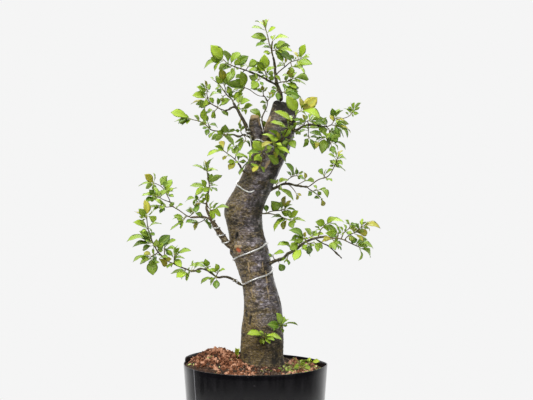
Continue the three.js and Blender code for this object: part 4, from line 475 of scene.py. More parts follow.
# Swellings and marks by their photograph pixels: two ends and half width, then depth in mm.
barkBumps = {
    "burr": ((237.4, 249.6), (235.6, 251.4), 4.6, -2.6),
    "bulge": ((229.5, 207), (228.5, 214), 3.6, -1.0),
}
barkMarks = {
    # the dark marks are painted shade in the pits, slits and creases that they also cut in, and along
    # the burr's lower edge
    "dark": {
        "pit": ((236.6, 233), (236.4, 236), 1.3, 2.2),
        "pitFoot": ((236.4, 236), (235.4, 238.4), 0.8, 1.6),
        "lowSlit": ((250.6, 316.5), (249.6, 323.5), 0.7, 1.4),
        "lowNick": ((246.4, 310.5), (246, 313.5), 0.7, 0.9),
        "topPit": ((265.5, 133), (265.5, 134.5), 1.2, 1.4),
        "creaseLeft": ((228.5, 222.4), (237, 220.6), 0.4, 0.8),
        "creaseMiddle": ((237, 220.6), (245, 221.2), 0.35, 0.7),
        "creaseRight": ((245, 219.4), (254, 219.9), 0.3, 0.6),
        "creaseEnd": ((254, 217.6), (262, 218.4), 0.3, 0.5),
        "burrEdgeShade": ((233.6, 249), (233.2, 252), 0.5, 0.6),
        "creaseFoot": ((243, 226), (247, 225.4), 0.5, 0.5),
    },
    "pale": {
        "leftScratchTop": ((248.2, 263), (249.4, 272), 0.4, 0.3),
        "leftScratch": ((249.4, 276), (250.6, 284), 0.35, 0.3),
        "leftScratchFoot": ((250.6, 288), (252.4, 297), 0.3, 0.3),
        "rightScratchTop": ((262.4, 262), (263.2, 270), 0.3, 0.3),
        "rightScratch": ((266, 271), (267, 283), 0.35, 0.3),
        "rightScratchFoot": ((267.4, 286), (269.6, 300), 0.35, 0.3),
        "ridge": ((262, 130), (270.4, 118), 0.8, -0.8),
        "lowRidge": ((264, 168.6), (270, 161), 0.9, -0.8),
        "snagRim": ((252, 117), (257.6, 116), 1.6, 0.2),
        "snagSide": ((259, 119), (259.6, 124), 0.8, 0.2),
        "burrLip": ((236, 246.4), (240.4, 246), 0.9, -0.5),
    },
    "orange": {"burrCut": ((238.6, 249.4), (240, 250.6), 1.1, 0.5)},
}
sealedCut = {"left": 270, "right": 298, "top": 95, "bottom": 115}  # pixels
thinMark = 0.5  # pixels of half width, under which a mark breaks up along its length


def markShare(across, down, start, end, half):
    start, end = np.array(start), np.array(end)
    line = end - start
    places = np.stack([across, down], 1) - start
    share = np.clip(places @ line / (line @ line), 0, 1)
    away = np.linalg.norm(places - share[:, None] * line, axis=1)
    return 1 - smooth(away, half * 0.6, half * 1.9)


def markBark(mesh, points, normals):  # paints the marks and gives how deep they and the bumps go
    across, down = photoPlaces(points)
    front = smooth(-normals[:, 1], -0.1, 0.25)
    wobble = noiseAt(points, 4) * 1.1
    broken = 0.35 + 0.65 * smooth(noiseAt(points, 5, shift=13), -0.25, 0.15)
    depth = np.zeros(len(points))
    for name, marks in barkMarks.items():
        total = np.zeros(len(points))
        for start, end, half, deep in marks.values():
            share = markShare(across + wobble, down + wobble, start, end, half) * front
            share = share * broken if half < thinMark else share
            total = np.maximum(total, share)
            depth -= share * deep
        setAttribute(mesh, name, total)
    facing = smooth(-normals[:, 1], -0.6, 0.1)
    for start, end, half, deep in barkBumps.values():
        depth -= markShare(across, down, start, end, half) * facing * deep
    inBox = (across > sealedCut["left"]) & (across < sealedCut["right"])
    inBox &= (down > sealedCut["top"]) & (down < sealedCut["bottom"])
    sealed = np.where(inBox, smooth(normals[:, 2], 0.2, 0.4), 0)
    setAttribute(mesh, "sealed", sealed)
    return depth, sealed


def shadeBark(mesh, points, normals):  # where the algae and the smooth skin are, and the painted shade on the faces turned right and down, deeper high up; the bark is also darker at the foot and a little towards the top
    height = points[:, 2] / mm
    low = 1 - smooth(height, *trunkLook["algaeTop"])
    leftSide = smooth(-normals[:, 0], -0.3, 0.6)
    # painted shade on the faces turned right and down, away from the key light
    rightSide = smooth(normals[:, 0] - 0.25 * normals[:, 2], 0.1, 0.75)
    foot = 1 - smooth(height, *trunkLook["footTop"])
    high = smooth(height, *trunkLook["highFrom"])
    # the same share also darkens the foot and, a little, the top, with a random spread
    shade = np.maximum((0.75 + 0.15 * high) * rightSide, 0.45 * foot)
    shade = np.maximum(shade, 0.25 * high) * (0.8 + 0.9 * noiseAt(points, 5, (1, 1, 2), 31))
    setAttribute(mesh, "algaeSide", np.clip(0.1 + 0.8 * leftSide + 0.35 * low, 0, 1))
    setAttribute(mesh, "smoothSide", np.clip(1.1 - 0.7 * leftSide - 0.95 * low, 0, 1))
    setAttribute(mesh, "shade", np.clip(shade, 0, 1))


def makeTrunk():
    look = trunkLook
    thing = rounded("trunk_bark", mergedCopy("trunk"), trunkBark, look)
    points, normals = pointsAndNormals(thing.data)
    depth, sealed = markBark(thing.data, points, normals)
    shadeBark(thing.data, points, normals)
    root = 1 - smooth(points[:, 2] / mm, *look["rootTop"])
    grain = look["grain"] + (look["rootGrain"] - look["grain"]) * root
    depth += look["swell"] * noiseAt(points, look["swellCell"])
    depth += look["wrinkle"] * noiseAt(points, look["wrinkleCell"], (3.2, 3.2, 0.8), 7)
    depth += grain * noiseAt(points, look["grainCell"], (1, 1, 0.9), 3)
    emboss(thing.data, points, normals, depth * (1 - 0.8 * sealed))
    finish(thing, "trunk_bark", "trunk")


makeTrunk()
print("trunk made")

# Branches: the CAD's, rounded, knotted and run a little into the trunk.
branchLook = {
    "levels": 2, "bark": 0.5, "knot": 0.7, "knotCell": 5, "grain": 0.25, "grainCell": 2,  # mm
    "regain": 0.7, "regainMost": 0.6, "sinkReach": 1.3, "sinkDepth": 1.5,
    "old": ("burr_branch", "left_spur"),  # the browner ones
}
branchNames = [name for name in nodes if name.endswith(("_branch", "_spur"))]
trunkSkin, allWood = skinOf(["trunk"]), skinOf(["trunk", *branchNames])


def makeBranch(name):
    look = branchLook
    matter = branchBark if name in look["old"] else youngBark
    thing = rounded(name + "_bark", mergedCopy(name), matter, look, trunkSkin)
    points, normals = pointsAndNormals(thing.data)
    depth = look["knot"] * noiseAt(points, look["knotCell"])
    depth += look["grain"] * noiseAt(points, look["grainCell"], shift=5)
    emboss(thing.data, points, normals, depth)
    finish(thing, "branch_bark", name)


for name in branchNames:
    makeBranch(name)
print("branches made:", len(branchNames))

# Training wires: the CAD's wires, drawn round.
wireLook = {"levels": 2, "regain": 0.9, "regainMost": 0.4}  # mm
for name in [name for name in nodes if name.endswith("_wire")]:
    wire = rounded(name + "_metal", mergedCopy(name), wireMetal, wireLook)
    finish(wire, "aluminium_wire", name)
print("wires made")

# Leaves: every CAD leaf is two apexes a known thickness apart, ringed by its outline.
leafLens = {
    "ages": {0.9: 0.0, 1.1: 0.33, 1.3: 0.67, 1.5: 1.0},  # mm thick to the age the material reads
    "thickSlack": 0.012, "base": 1.0, "baseSlack": 0.05,  # mm, base between its two stalk points
}
leafLook = {
    "rows": 9, "thickness": 0.14,  # mm, half of the leaf's
    "columns": (-1, -0.5, 0, 0.5, 1), "groove": -0.5,  # how high the midrib lies in its thickness
    "skews": (0.9, 1.1, 1.35),  # where each shape is widest
    "fullness": 0.86, "taper": 0.2, "teeth": (0.012, -0.008),  # of the outline
    "droop": 0.1, "widen": 1.3, "lengthen": 1.18, "fold": 0.55, "foldBend": 1.4,
    "curl": 0.35, "waves": 15.0,  # mm high and radians along the edge
}
siblingLook = {
    "shares": (0.9, 0.5),  # of leaves with a first and with a second smaller one beside it
    "size": (0.42, 0.74), "stalk": 0.8,  # of the leaf's own
    "lean": (0.5, 1.25), "roll": 0.9,  # radians
    "least": 6,  # mm, the shortest leaf that gets any
}
twigLook = {
    "levels": 1, "regain": 0.75, "regainMost": 0.3, "bark": 0.2,  # mm
    "sinkReach": 0.9, "sinkDepth": 0.5,
    "stalk": 0.5, "stalkTip": 0.36, "stalkRoot": 0.5,  # mm, radii and how far it starts in the twig
    "stalkSides": 6, "sag": 0.06,
}


def outlineHalf(u, row, skew):  # half the leaf's width at the share u of its length
    half = 0.5 * math.sin(math.pi * u ** skew) ** leafLook["fullness"]
    half *= 1 - leafLook["taper"] * smooth(u, 0.75, 1)
    return half * (1 + leafLook["teeth"][0 if row % 2 else 1])


def makeLeafShape(index, skew):  # one unit long and wide, thickness in metres, closed
    rows, thick, columns = leafLook["rows"], leafLook["thickness"] * mm, leafLook["columns"]
    wide = len(columns)
    points, places, faces, under, rings = [(0, 0, 0)], [(0, 0, 0)], [], [], []
    for row in range(1, rows):
        u = row / rows
        half = outlineHalf(u, row, skew)
        ring = []
        for layer in (1, -1):
            for v in columns if layer == 1 else columns[1:-1]:
                rib = leafLook["groove"] if v == 0 and layer == 1 else 1
                ring.append(len(points))
                points.append((u, v * half, thick * layer * (1 - abs(v)) * rib))
                places.append((u, v, 0))
        # the upper and lower row of points, which share the leaf's two edges
        rings.append((ring[:wide], [ring[0], *ring[wide:], ring[wide - 1]]))
    tip = len(points)
    points.append((1, 0, 0))
    places.append((1, 0, 0))
    for layer in (0, 1):
        loops = [ring[layer] for ring in rings]
        for column in range(wide - 1):
            made = [(0, loops[0][column + 1], loops[0][column])]
            for a, b in zip(loops, loops[1:]):
                made.append((a[column], a[column + 1], b[column + 1], b[column]))
            made.append((loops[-1][column], loops[-1][column + 1], tip))
            # the lower side's faces are turned the other way, so that they look down
            faces += [face[::-1] for face in made] if layer else made
            under += [float(layer)] * len(made)
    shape = meshObject(f"leafShape{index}", (points, [], faces), leafMatter, leafShapes)
    setAttribute(shape.data, "leafPlace", np.array(places, float), "FLOAT_VECTOR")
    setAttribute(shape.data, "under", under, domain="FACE")


def makeLeafTree():
    # points with a turn, size and bend each become leaves that are bowed and folded in place
    tree, add, given = newTree("growLeaves", {
        "Shapes": "Collection", "Matter": "Material", "Fold": "Float", "Curl": "Float"})
    read = {}
    for name in ("turn", "size", "rise", "leafPlace", "bow", "shape", "width"):
        kind = "FLOAT" if name in ("bow", "shape", "width") else "FLOAT_VECTOR"
        read[name] = add("GeometryNodeInputNamedAttribute", {"Name": name}, data_type=kind)
    shapes = add("GeometryNodeCollectionInfo", {
        "Collection": given["Shapes"], "Separate Children": True, "Reset Children": True})
    leaves = add("GeometryNodeInstanceOnPoints", {
        "Points": given["Geometry"], "Instance": shapes, "Pick Instance": True,
        "Instance Index": read["shape"], "Rotation": read["turn"], "Scale": read["size"]})
    leaves = add("GeometryNodeRealizeInstances", {"Geometry": leaves})
    parts = add("SeparateXYZ", {0: read["leafPlace"]}, out=0).node.outputs
    rest = add("Math", {0: 1.0, 1: parts[0]}, operation="SUBTRACT")
    hump = add("Math", {0: parts[0], 1: rest}, operation="MULTIPLY")
    bow = add("Math", {0: hump, 1: read["bow"]}, operation="MULTIPLY")
    side = add("Math", {0: parts[1]}, operation="ABSOLUTE")
    fold = add("Math", {0: side, 1: leafLook["foldBend"]}, operation="POWER")
    for factor in (hump, read["width"], given["Fold"]):
        fold = add("Math", {0: fold, 1: factor}, operation="MULTIPLY")
    waves = add("Math", {0: parts[0], 1: leafLook["waves"]}, operation="MULTIPLY")
    waves = add("Math", {0: waves}, operation="SINE")
    for factor in (parts[1], given["Curl"]):
        waves = add("Math", {0: waves, 1: factor}, operation="MULTIPLY")
    lift = add("Math", {0: bow, 1: fold}, operation="ADD")
    lift = add("Math", {0: lift, 1: waves}, operation="ADD")
    move = add("VectorMath", {0: read["rise"], "Scale": lift}, operation="SCALE")
    leaves = add("GeometryNodeSetPosition", {"Geometry": leaves, "Offset": move})
    closeTree(add, leaves, given)
    return tree


def makeStalkTree():
    # edges become tubes whose radius comes from their points
    tree, add, given = newTree("growStalks", {"Sides": "Int", "Matter": "Material"})
    radius = add("GeometryNodeInputNamedAttribute", {"Name": "thick"}, data_type="FLOAT")
    lines = add("GeometryNodeMeshToCurve", {"Mesh": given["Geometry"]})
    ring = add("GeometryNodeCurvePrimitiveCircle", {"Resolution": given["Sides"], "Radius": 1.0})
    tubes = add("GeometryNodeCurveToMesh", {
        "Curve": lines, "Profile Curve": ring, "Scale": radius, "Fill Caps": True})
    closeTree(add, tubes, given)
    return tree


leafShapes = bpy.data.collections.new("leafShapes")
for index, skew in enumerate(leafLook["skews"]):
    makeLeafShape(index, skew)
leafTree = makeLeafTree()
stalkTree = makeStalkTree()


def ageOf(distance):
    for thickness, age in leafLens["ages"].items():
        if abs(distance / mm - thickness) < leafLens["thickSlack"]:
            return age
    return None


def readLeaf(points, near, upper, lower):  # the leaf with these two apexes, if there is one
    age = ageOf((points[upper] - points[lower]).length)
    ring = near[upper] & near[lower]
    if age is None or len(ring) < 4:
        return None
    gap, first, second = min(
        (abs((points[a] - points[b]).length / mm - leafLens["base"]), a, b)
        for a in ring for b in ring if a < b)
    if gap > leafLens["baseSlack"]:
        return None
    base = (points[first] + points[second]) / 2
    outline = ring - {first, second}
    tip = max(outline, key=lambda index: (points[index] - base).length)
    sides = sorted(outline - {tip}, key=lambda index: (points[index] - points[tip]).length)
    if len(sides) < 2:
        return None
    own = {upper, lower, first, second, tip, *sides[:2]}
    roots = (near[first] | near[second]) - own
    return own, {
        "base": base, "tip": points[tip], "left": points[sides[0]], "right": points[sides[1]],
        "middle": (points[upper] + points[lower]) / 2, "age": age,
        "root": sum((points[i] for i in roots), Vector()) / len(roots) if roots else None,
    }


def findLeaves(shape):  # the leaves of a merged shoot, and the vertices that are theirs
    points = [vertex.co.copy() for vertex in shape.verts]
    near = [{edge.other_vert(v).index for edge in v.link_edges} for v in shape.verts]
    found, taken = [], set()
    for upper in range(len(points)):
        candidates = {far for mid in near[upper] for far in near[mid] if far > upper} - near[upper]
        for lower in candidates:
            if upper in taken or lower in taken:
                continue
            leaf = readLeaf(points, near, upper, lower)
            if leaf:
                taken |= leaf[0]
                found.append(leaf[1])
    return found, taken


def describeLeaf(leaf):  # turn, size and bend of the leaf that takes this lens's place
    axis = leaf["tip"] - leaf["base"]
    length = axis.length * leafLook["lengthen"]
    axis.normalize()
    side = leaf["left"] - leaf["right"]
    side -= axis * side.dot(axis)
    width = side.length * leafLook["widen"]
    side.normalize()
    rise = axis.cross(side)
    arch = (leaf["middle"] - leaf["base"]).dot(rise)
    turn = Matrix((axis, side, rise)).transposed().to_euler()
    return {
        "turn": turn, "size": (length, width, 1), "rise": rise,
        "bow": 4 * arch + random.uniform(-1, 1) * leafLook["droop"] * length,
        "width": width, "age": leaf["age"], "tone": random.random(),
        "shape": random.randrange(len(leafLook["skews"])),
    }


def siblingOf(leaf):  # a smaller copy on the same spot of the twig, turned another way
    look, axis = siblingLook, leaf["tip"] - leaf["base"]
    turn = Matrix.Rotation(random.uniform(0, 2 * math.pi), 3, axis.normalized())
    lean = random.uniform(*look["lean"])
    lean = Matrix.Rotation(lean, 3, turn @ axis.orthogonal().normalized())
    size = random.uniform(*look["size"])
    roll = random.uniform(-look["roll"], look["roll"])
    roll = Matrix.Rotation(roll, 3, (lean @ axis).normalized())
    base = leaf["root"] + lean @ (leaf["base"] - leaf["root"]) * look["stalk"]
    moved = {"base": base, "root": leaf["root"], "age": random.choice((leaf["age"], 0.33, 0.67))}
    for key in ("tip", "left", "right", "middle"):
        moved[key] = base + size * (roll @ lean @ (leaf[key] - leaf["base"]))
    return moved


def addSiblings(leaves):  # a plum's spurs carry their leaves in clusters, with small ones between
    added = []
    for leaf in leaves:
        if leaf["root"] is None or (leaf["tip"] - leaf["base"]).length < siblingLook["least"] * mm:
            continue
        for share in siblingLook["shares"]:
            if random.random() <= share:
                added.append(siblingOf(leaf))
    return leaves + added


def makeLeaves(name, leaves, matter, slot):
    facts = [describeLeaf(leaf) for leaf in leaves]
    thing = meshObject(name + "_leaves", ([leaf["base"] for leaf in leaves], [], []), matter)
    for key in ("turn", "size", "rise"):
        setAttribute(thing.data, key, np.array([list(f[key]) for f in facts]), "FLOAT_VECTOR")
    for key in ("bow", "width", "age", "tone", "shape"):
        setAttribute(thing.data, key, np.array([f[key] for f in facts], float))
    grow(thing, leafTree, Shapes=leafShapes, Matter=matter, Fold=leafLook["fold"],
         Curl=leafLook["curl"] * mm)
    finish(thing, slot)


def makeStalks(name, leaves):  # the leaf stalks, each a short bent line from its twig
    look = twigLook
    points, edges, thick = [], [], []
    for leaf in leaves:
        if leaf["root"] is None:
            continue
        away = leaf["base"] - leaf["root"]
        start = leaf["root"] - away.normalized() * look["stalkRoot"] * mm
        sag = Vector((0, 0, -look["sag"] * away.length))
        into = leaf["base"] + (leaf["tip"] - leaf["base"]) * 0.05
        first = len(points)
        points += [start, (start + into) / 2 + sag, into]
        thick += [look["stalk"] * mm, look["stalkTip"] * mm, look["stalkTip"] * mm]
        edges += [(first, first + 1), (first + 1, first + 2)]
    thing = meshObject(name + "_stalks", (points, edges, []), stalkSkin)
    setAttribute(thing.data, "thick", thick)
    return grow(thing, stalkTree, Sides=look["stalkSides"], Matter=stalkSkin)


def joinInto(thing, other):  # the other's mesh becomes part of the first, with its own material
    shape = bmesh.new()
    shape.from_mesh(thing.data)
    start = len(shape.faces)
    shape.from_mesh(other.data)
    for index, face in enumerate(shape.faces):
        face.material_index = int(index >= start)
        face.smooth = True
    thing.data.materials.append(other.data.materials[0])
    shape.to_mesh(thing.data)
    shape.free()
    bpy.data.objects.remove(other)


def makeShoot(name):
    shape = mergedCopy(name)
    leaves, taken = findLeaves(shape)
    leaves = addSiblings(leaves)
    bmesh.ops.delete(shape, geom=[shape.verts[index] for index in taken], context="VERTS")
    loose = [vertex for vertex in shape.verts if not vertex.link_faces]
    bmesh.ops.delete(shape, geom=loose, context="VERTS")
    bmesh.ops.holes_fill(shape, edges=[edge for edge in shape.edges if edge.is_boundary])
    isWeed = name.endswith("_weed")
    skin, twigSlot = (stalkSkin, "weed_green") if isWeed else (twigBark, "branch_bark")
    matter, leafSlot = (weedMatter, "weed_green") if isWeed else (leafMatter, "leaf_green")
    twigs = rounded(name + "_twigs", shape, skin, twigLook, allWood)
    joinInto(twigs, makeStalks(name, leaves))
    makeLeaves(name, leaves, matter, leafSlot)
    finish(twigs, twigSlot, name)
    return len(leaves)


shootNames = [name for name in nodes if name.endswith(("_shoot", "_weed"))]
leafCount = sum(makeShoot(name) for name in shootNames)
clearShapes(leafShapes)
print("shoots made:", len(shootNames), "with", leafCount, "leaves")

# Pot: one thin blow-moulded wall with an uneven cut rim, a seam and a floor with drain holes.
pot = {
    "foot": 96.5, "top": 110, "height": 185, "wall": 1.4, "floor": 2.5,  # mm, foot and top radii
    "sides": 240, "rows": 16, "wobble": 0.8,
    "seamAngle": 215.4, "seamHalf": 0.7, "seamProud": 0.35, "seamGap": 0.022,  # degrees, mm, mm, radians
    "seamSteps": (-2.2, -1.4, -1.0, -0.4, 0, 0.4, 1.0, 1.4, 2.2),  # mm along the wall
    "rise": 6, "riseAt": 2.55, "sag": 4, "sagAt": 0.75,  # mm and radians, of the uneven rim
    "floorRadius": 95.3, "floorSides": 96,
    "holes": 6, "holeRadius": 5, "holeRing": 60, "holeSides": 24,
}
potFlare = (pot["top"] - pot["foot"]) / pot["height"]


def rimHeight(angle):
    back = smooth(np.cos(angle - pot["riseAt"]), 0.8, 0.93) * (1 - smooth(angle, 3.0, 3.03))
    dip = smooth(np.cos(angle - pot["sagAt"]), 0.6, 1)
    return pot["height"] + pot["rise"] * back - pot["sag"] * dip


def wallRows():
    # rows of the wall's section, from the foot's inner edge up the outside and down the inside:
    # mm inside the outer face, mm of height, and the share of the rim's height to add to it
    steps = np.linspace(0, 1, pot["rows"]) ** 0.8
    rows = [(1.5, 0.0, 0.0), (0.4, 0.35, 0.0)]
    rows += [(0.0, 1.5, share) for share in steps[:-1]]
    rows += [(0.0, -0.7, 1), (0.2, -0.2, 1), (0.7, 0, 1), (1.2, -0.2, 1), (1.4, -0.7, 1)]
    rows += [(pot["wall"], 0, share) for share in steps[::-1][1:-1]]
    return rows + [(pot["wall"], pot["floor"], 0)]


def makeWall():
    # the wall's sides are drawn closer together beside the seam
    seam = math.radians(pot["seamAngle"])
    angles = np.linspace(0, 2 * math.pi, pot["sides"], endpoint=False)
    near = seam + np.array(pot["seamSteps"]) * mm / (pot["top"] * mm)
    angles = np.sort(np.concatenate([angles[np.abs(angles - seam) > pot["seamGap"]], near]))
    rims = rimHeight(angles)
    arc = np.abs(angles - seam) * pot["top"]
    seamShare = 1 - smooth(arc, 0.5, pot["seamHalf"] + 0.5)
    rounds = [Vector((math.cos(a) * 1.7, math.sin(a) * 1.7, 4)) for a in angles]
    wobble = np.array([noise.noise(place) for place in rounds])
    points, faces, seams = [], [], []
    rows, count = wallRows(), len(angles)
    for inside, lift, share in rows:
        heights = lift + share * rims
        heights = np.maximum(heights, pot["floor"]) if inside == pot["wall"] else heights
        radii = pot["foot"] + potFlare * heights - inside
        outer = inside < pot["wall"]
        radii = radii + wobble * pot["wobble"] * share * (1.5 - share)
        if outer and lift != 0:
            radii = radii + seamShare * pot["seamProud"]
        for angle, radius, height, mark in zip(angles, radii, heights, seamShare):
            points.append(Vector((radius * math.cos(angle), radius * math.sin(angle), height)) * mm)
            seams.append(float(mark) if outer else 0.0)
    for low in range(0, (len(rows) - 1) * count, count):
        for side in range(count):
            after = (side + 1) % count
            faces.append((low + side, low + after, low + count + after, low + count + side))
    wall = meshObject("pot_wall", (points, [], faces), potPlastic)
    setAttribute(wall.data, "seam", seams)
    finish(wall, "black_plastic", "pot")


def makeFloor():
    outline = bpy.data.curves.new("potFloor", "CURVE")
    outline.dimensions, outline.fill_mode = "2D", "BOTH"
    outline.extrude = pot["floor"] / 2 * mm
    rings = [((0, 0), pot["floorRadius"], pot["floorSides"])]
    for hole in range(pot["holes"]):
        turn = 2 * math.pi * hole / pot["holes"]
        centre = (pot["holeRing"] * math.cos(turn), pot["holeRing"] * math.sin(turn))
        rings.append((centre, pot["holeRadius"], pot["holeSides"]))
    for (x, y), radius, sides in rings:
        spline = outline.splines.new("POLY")
        spline.points.add(sides - 1)
        spline.use_cyclic_u = True
        for index, point in enumerate(spline.points):
            turn = 2 * math.pi * index / sides
            point.co = ((x + radius * math.cos(turn)) * mm, (y + radius * math.sin(turn)) * mm, 0, 1)
    flat = bpy.data.objects.new("pot_outline", outline)
    bpy.context.collection.objects.link(flat)
    graph = bpy.context.evaluated_depsgraph_get()
    mesh = bpy.data.meshes.new_from_object(flat.evaluated_get(graph), depsgraph=graph)
    mesh.transform(Matrix.Translation((0, 0, pot["floor"] / 2 * mm)))
    mesh.materials.clear()
    mesh.materials.append(potPlastic)
    bpy.data.objects.remove(flat)
    floor = bpy.data.objects.new("pot_floor", mesh)
    bpy.context.collection.objects.link(floor)
    finish(floor, "black_plastic")


makeWall()
makeFloor()
print("pot made")

# Soil: the CAD's heap, roughened, with crumbs, grit and clippings scattered over it.
soil = {
    "rings": 70, "sides": 150, "bottom": 2.6, "play": 0.4, "footPlay": 1.9,  # mm
    "level": 181, "mound": 7, "moundReach": 44, "fall": 7, "fallFrom": (20, 85),
    "heap": 23, "heapAt": (-62, -4), "heapReach": (31, 62),
    "roughness": 2.0, "roughCell": 8, "fineCell": 3.5, "edge": (96, 106), "edgeHeight": 178,
    "nearWall": (97, 102), "nearTrunk": (30, 36), "right": (30, 60),  # where the scatter fades
    "lumps": 0.05, "lumpSize": (0.9, 4.4),  # lumps on a square mm, radius in mm
    "grains": 0.12, "grainSize": (0.5, 1.3),
    "clips": 0.075, "clipSize": (1.8, 4.8),
}


def soilHeight(x, y):
    (heapX, heapY), (reachX, reachY) = soil["heapAt"], soil["heapReach"]
    heap = soil["heap"] * np.exp(-((x - heapX) / reachX) ** 2 - ((y - heapY) / reachY) ** 2)
    mound = soil["mound"] * np.exp(-(x * x + y * y) / soil["moundReach"] ** 2)
    return soil["level"] + heap + mound - soil["fall"] * smooth(x, *soil["fallFrom"])


def makeSoil():
    rings, sides = soil["rings"], soil["sides"]
    reach = pot["foot"] + potFlare * soil["edgeHeight"] - pot["wall"] - soil["play"]
    flat = [(0, 0, 0)]
    for ring in range(1, rings + 1):
        for side in range(sides):
            angle, radius = 2 * math.pi * side / sides, reach * ring / rings
            flat.append((radius * math.cos(angle), radius * math.sin(angle), 0))
    flat = np.array([list(Vector(point)) for point in flat])
    rough = noiseAt(flat * mm, soil["roughCell"])
    rough = rough + 0.6 * noiseAt(flat * mm, soil["fineCell"], shift=9)
    edge = smooth(np.hypot(flat[:, 0], flat[:, 1]), *soil["edge"])
    heights = soilHeight(flat[:, 0], flat[:, 1])
    flat[:, 2] = heights + soil["roughness"] * rough * (1 - 0.5 * edge) - 1.5 * edge
    top = len(flat)
    last = flat[-sides:].copy()
    foot = last.copy()
    foot[:, :2] *= (pot["foot"] - soil["footPlay"]) / np.hypot(last[:, 0], last[:, 1])[:, None]
    foot[:, 2] = soil["bottom"]
    flat = np.concatenate([flat, foot, [[0, 0, soil["bottom"]]]])
    faces = [(0, 1 + side, 1 + (side + 1) % sides) for side in range(sides)]
    for low in range(1, 1 + (rings - 1) * sides, sides):
        for side in range(sides):
            after = (side + 1) % sides
            faces.append((low + side, low + sides + side, low + sides + after, low + after))
    for side in range(sides):
        after = (side + 1) % sides
        faces.append((top - sides + side, top + side, top + after, top - sides + after))
        faces.append((top + sides, top + after, top + side))
    thing = meshObject("soil_body", ((flat * mm).tolist(), [], faces), soilEarth)
    setAttribute(thing.data, "tone", np.full(len(flat), 0.4))
    return thing, top


def makeScatterTree():
    # one of the shapes on each point, turned and sized at random
    tree, add, given = newTree("scatterOnSoil", {
        "Shapes": "Collection", "Matter": "Material", "Density": "Float",
        "Least": "Float", "Most": "Float", "Flat": "Float", "Seed": "Int"})
    share = add("GeometryNodeInputNamedAttribute", {"Name": "share"}, data_type="FLOAT")
    density = add("Math", {0: share, 1: given["Density"]}, operation="MULTIPLY")
    points = add("GeometryNodeDistributePointsOnFaces", {
        "Mesh": given["Geometry"], "Density": density, "Seed": given["Seed"]})
    shapes = add("GeometryNodeCollectionInfo", {
        "Collection": given["Shapes"], "Separate Children": True, "Reset Children": True})
    turn = add("FunctionNodeRandomValue", {
        0: [-math.pi] * 3, 1: [math.pi] * 3, "Seed": 3}, data_type="FLOAT_VECTOR")
    limit = add("CombineXYZ", {0: given["Flat"], 1: given["Flat"], 2: 1.0})
    turn = add("VectorMath", {0: turn, 1: limit}, operation="MULTIPLY")
    size = add("FunctionNodeRandomValue", {
        2: given["Least"], 3: given["Most"], "Seed": 5}, out=1, data_type="FLOAT")
    pieces = add("GeometryNodeInstanceOnPoints", {
        "Points": points, "Instance": shapes, "Pick Instance": True,
        "Rotation": turn, "Scale": size})
    tone = add("FunctionNodeRandomValue", {2: 0.0, 3: 1.0, "Seed": 9}, out=1, data_type="FLOAT")
    pieces = add("GeometryNodeStoreNamedAttribute", {
        "Geometry": pieces, "Name": "tone", "Value": tone}, data_type="FLOAT", domain="INSTANCE")
    closeTree(add, pieces, given)
    return tree


def crumbShapes(name, count, finesse, bumpiness):
    shapes = bpy.data.collections.new(name)
    for index in range(count):
        shape = bmesh.new()
        bmesh.ops.create_icosphere(shape, subdivisions=finesse, radius=1)
        shift = Vector((index * 7, 0, 0))
        for vertex in shape.verts:
            bump = noise.noise(vertex.co * 1.1 + shift) + 0.6 * noise.noise(vertex.co * 2.6 + shift)
            vertex.co *= 1 + bumpiness * bump
            vertex.co = Vector((vertex.co.x, vertex.co.y * 0.8, vertex.co.z * 0.65))
        thing = meshObject(f"{name}{index}", shape, lumpEarth, shapes)
        if finesse < 2:
            flatFaces(thing)
    return shapes


def clipShapes():  # bits of cut grass and dry leaf, by their half width and bend
    shapes = bpy.data.collections.new("clipShapes")
    for index, (half, bend) in enumerate(((0.16, 0.3), (0.3, 0.15), (0.45, 0.25))):
        points, faces = [], []
        for x in (-1, -0.5, 0, 0.5, 1):
            wide = half * (1 - x * x * 0.9)
            lift = bend * (1 - x * x)
            points += [(x, -wide, lift), (x, 0, lift + 0.05), (x, wide, lift), (x, 0, lift - 0.03)]
        for low in (0, 4, 8, 12):
            for side in range(4):
                after = (side + 1) % 4
                faces.append((low + side, low + 4 + side, low + 4 + after, low + after))
        faces += [(3, 0, 1, 2), (16, 19, 18, 17)]
        meshObject(f"clipShape{index}", (points, [], faces), lumpEarth, shapes)
    return shapes


soilBody, soilTop = makeSoil()
scatterTree = makeScatterTree()
crumbs = {  # shapes, material, and the share of half a turn that they may tilt
    "lumps": (crumbShapes("lumpShapes", 7, 2, 1.05), lumpEarth, 0.8),
    "grains": (crumbShapes("grainShapes", 4, 1, 0.8), gritEarth, 0.8),
    "clips": (clipShapes(), cutGrass, 0.12),
}


def scatter(kind, seed):
    shapes, matter, flat = crumbs[kind]
    mesh = soilBody.data.copy()
    places = pointsAndNormals(mesh)[0] / mm
    x, y = places[:, 0], places[:, 1]
    inside = 1 - smooth(np.hypot(x, y), *soil["nearWall"])
    beside = smooth(np.hypot(x - 4, y), *soil["nearTrunk"])
    heap = np.exp(-((x + 60) / 48) ** 2 - ((y + 10) / 85) ** 2)
    right = smooth(x, *soil["right"])
    share = {
        "lumps": np.clip(1.5 * heap + 0.07 + 0.3 * right, 0, 1),
        "grains": np.clip(1.1 - 1.2 * heap, 0.12, 1),
        "clips": right * smooth(-y, -70, 10) + 0.03,
    }[kind] * inside * beside
    share[soilTop:] = 0
    setAttribute(mesh, "share", share)
    thing = bpy.data.objects.new("soil_" + kind, mesh)
    bpy.context.collection.objects.link(thing)
    least, most = (size * mm for size in soil[kind[:-1] + "Size"])
    grow(thing, scatterTree, Shapes=shapes, Matter=matter, Density=soil[kind] / mm ** 2,
         Least=least, Most=most, Flat=flat, Seed=seed)
    finish(thing, "potting_soil")


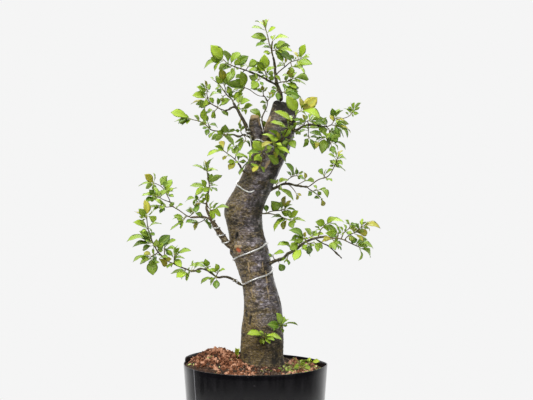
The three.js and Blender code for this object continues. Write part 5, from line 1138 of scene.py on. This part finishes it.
for seed, kind in enumerate(crumbs, 4):
    scatter(kind, seed)
for shapes, _, _ in crumbs.values():
    clearShapes(shapes)
finish(soilBody, "potting_soil", "soil")
print("soil made")

# Stage: a small pale floor, soft lights, and a room that is brighter behind the plant than before it.
stage = {
    "floorRadius": 0.56, "floorDepth": 0.01, "floorColour": "#dededc",
    "backdrop": "#f5f5f5", "roomLight": 1.15, "frontShare": 0.1,
    "lookAt": (0, 0, 0.4),
    "lights": {
        "key": {"place": (-0.9, -1.4, 2.2), "size": 1.3, "power": 48},
        "fill": {"place": (1.3, -1.4, 1.0), "size": 1.6, "power": 8},
        "rim": {"place": (0.2, 1.2, 1.9), "size": 1.2, "power": 14},
    },
}


def makeStage():
    # Board, painted: even, pale and matt, so that only soft shadows show on it.
    material, add = newMaterial("matt_painted_board")
    closeMaterial(add, linear(stage["floorColour"]), 0.8)
    disc = bmesh.new()
    bmesh.ops.create_cone(
        disc, cap_ends=True, segments=128, radius1=stage["floorRadius"],
        radius2=stage["floorRadius"], depth=stage["floorDepth"])
    bmesh.ops.translate(disc, verts=disc.verts, vec=(0, 0, -stage["floorDepth"] / 2))
    floor = meshObject("floor", disc, material)
    flatFaces(floor)
    for name, look in stage["lights"].items():
        light = bpy.data.lights.new(name, "AREA")
        light.size, light.energy = look["size"], look["power"]
        lamp = bpy.data.objects.new(name, light)
        lamp.location = look["place"]
        aim = Vector(stage["lookAt"]) - lamp.location
        lamp.rotation_euler = aim.to_track_quat("-Z", "Y").to_euler()
        bpy.context.collection.objects.link(lamp)


def makeRoom():  # what lights the scene, and the plain backdrop that the camera sees instead
    world = bpy.data.worlds.new("studio")
    world.use_nodes = True
    world.node_tree.nodes.clear()
    add = partial(addNode, world.node_tree)
    direction = add("TexCoord", out="Generated")
    parts = add("SeparateXYZ", {0: direction}).node.outputs
    behind = add("MapRange", {0: parts[1], 1: 0.15, 2: 0.8, 3: stage["frontShare"], 4: 1.0})
    above = add("MapRange", {0: parts[2], 1: 0.2, 2: 0.6, 3: 0.0, 4: 1.0})
    room = add("Math", {0: behind, 1: above}, operation="MAXIMUM")
    room = add("Math", {0: room, 1: stage["roomLight"]}, operation="MULTIPLY")
    lighting = add("Background", {"Color": (1, 1, 1, 1), "Strength": room})
    seen = add("Background", {"Color": linear(stage["backdrop"])})
    isSeen = add("LightPath", out="Is Camera Ray")
    both = add("MixShader", {0: isSeen, 1: lighting, 2: seen})
    add("OutputWorld", {"Surface": both}, out=None)
    bpy.context.scene.world = world
    bpy.context.scene.view_settings.view_transform = "Standard"


makeStage()
makeRoom()
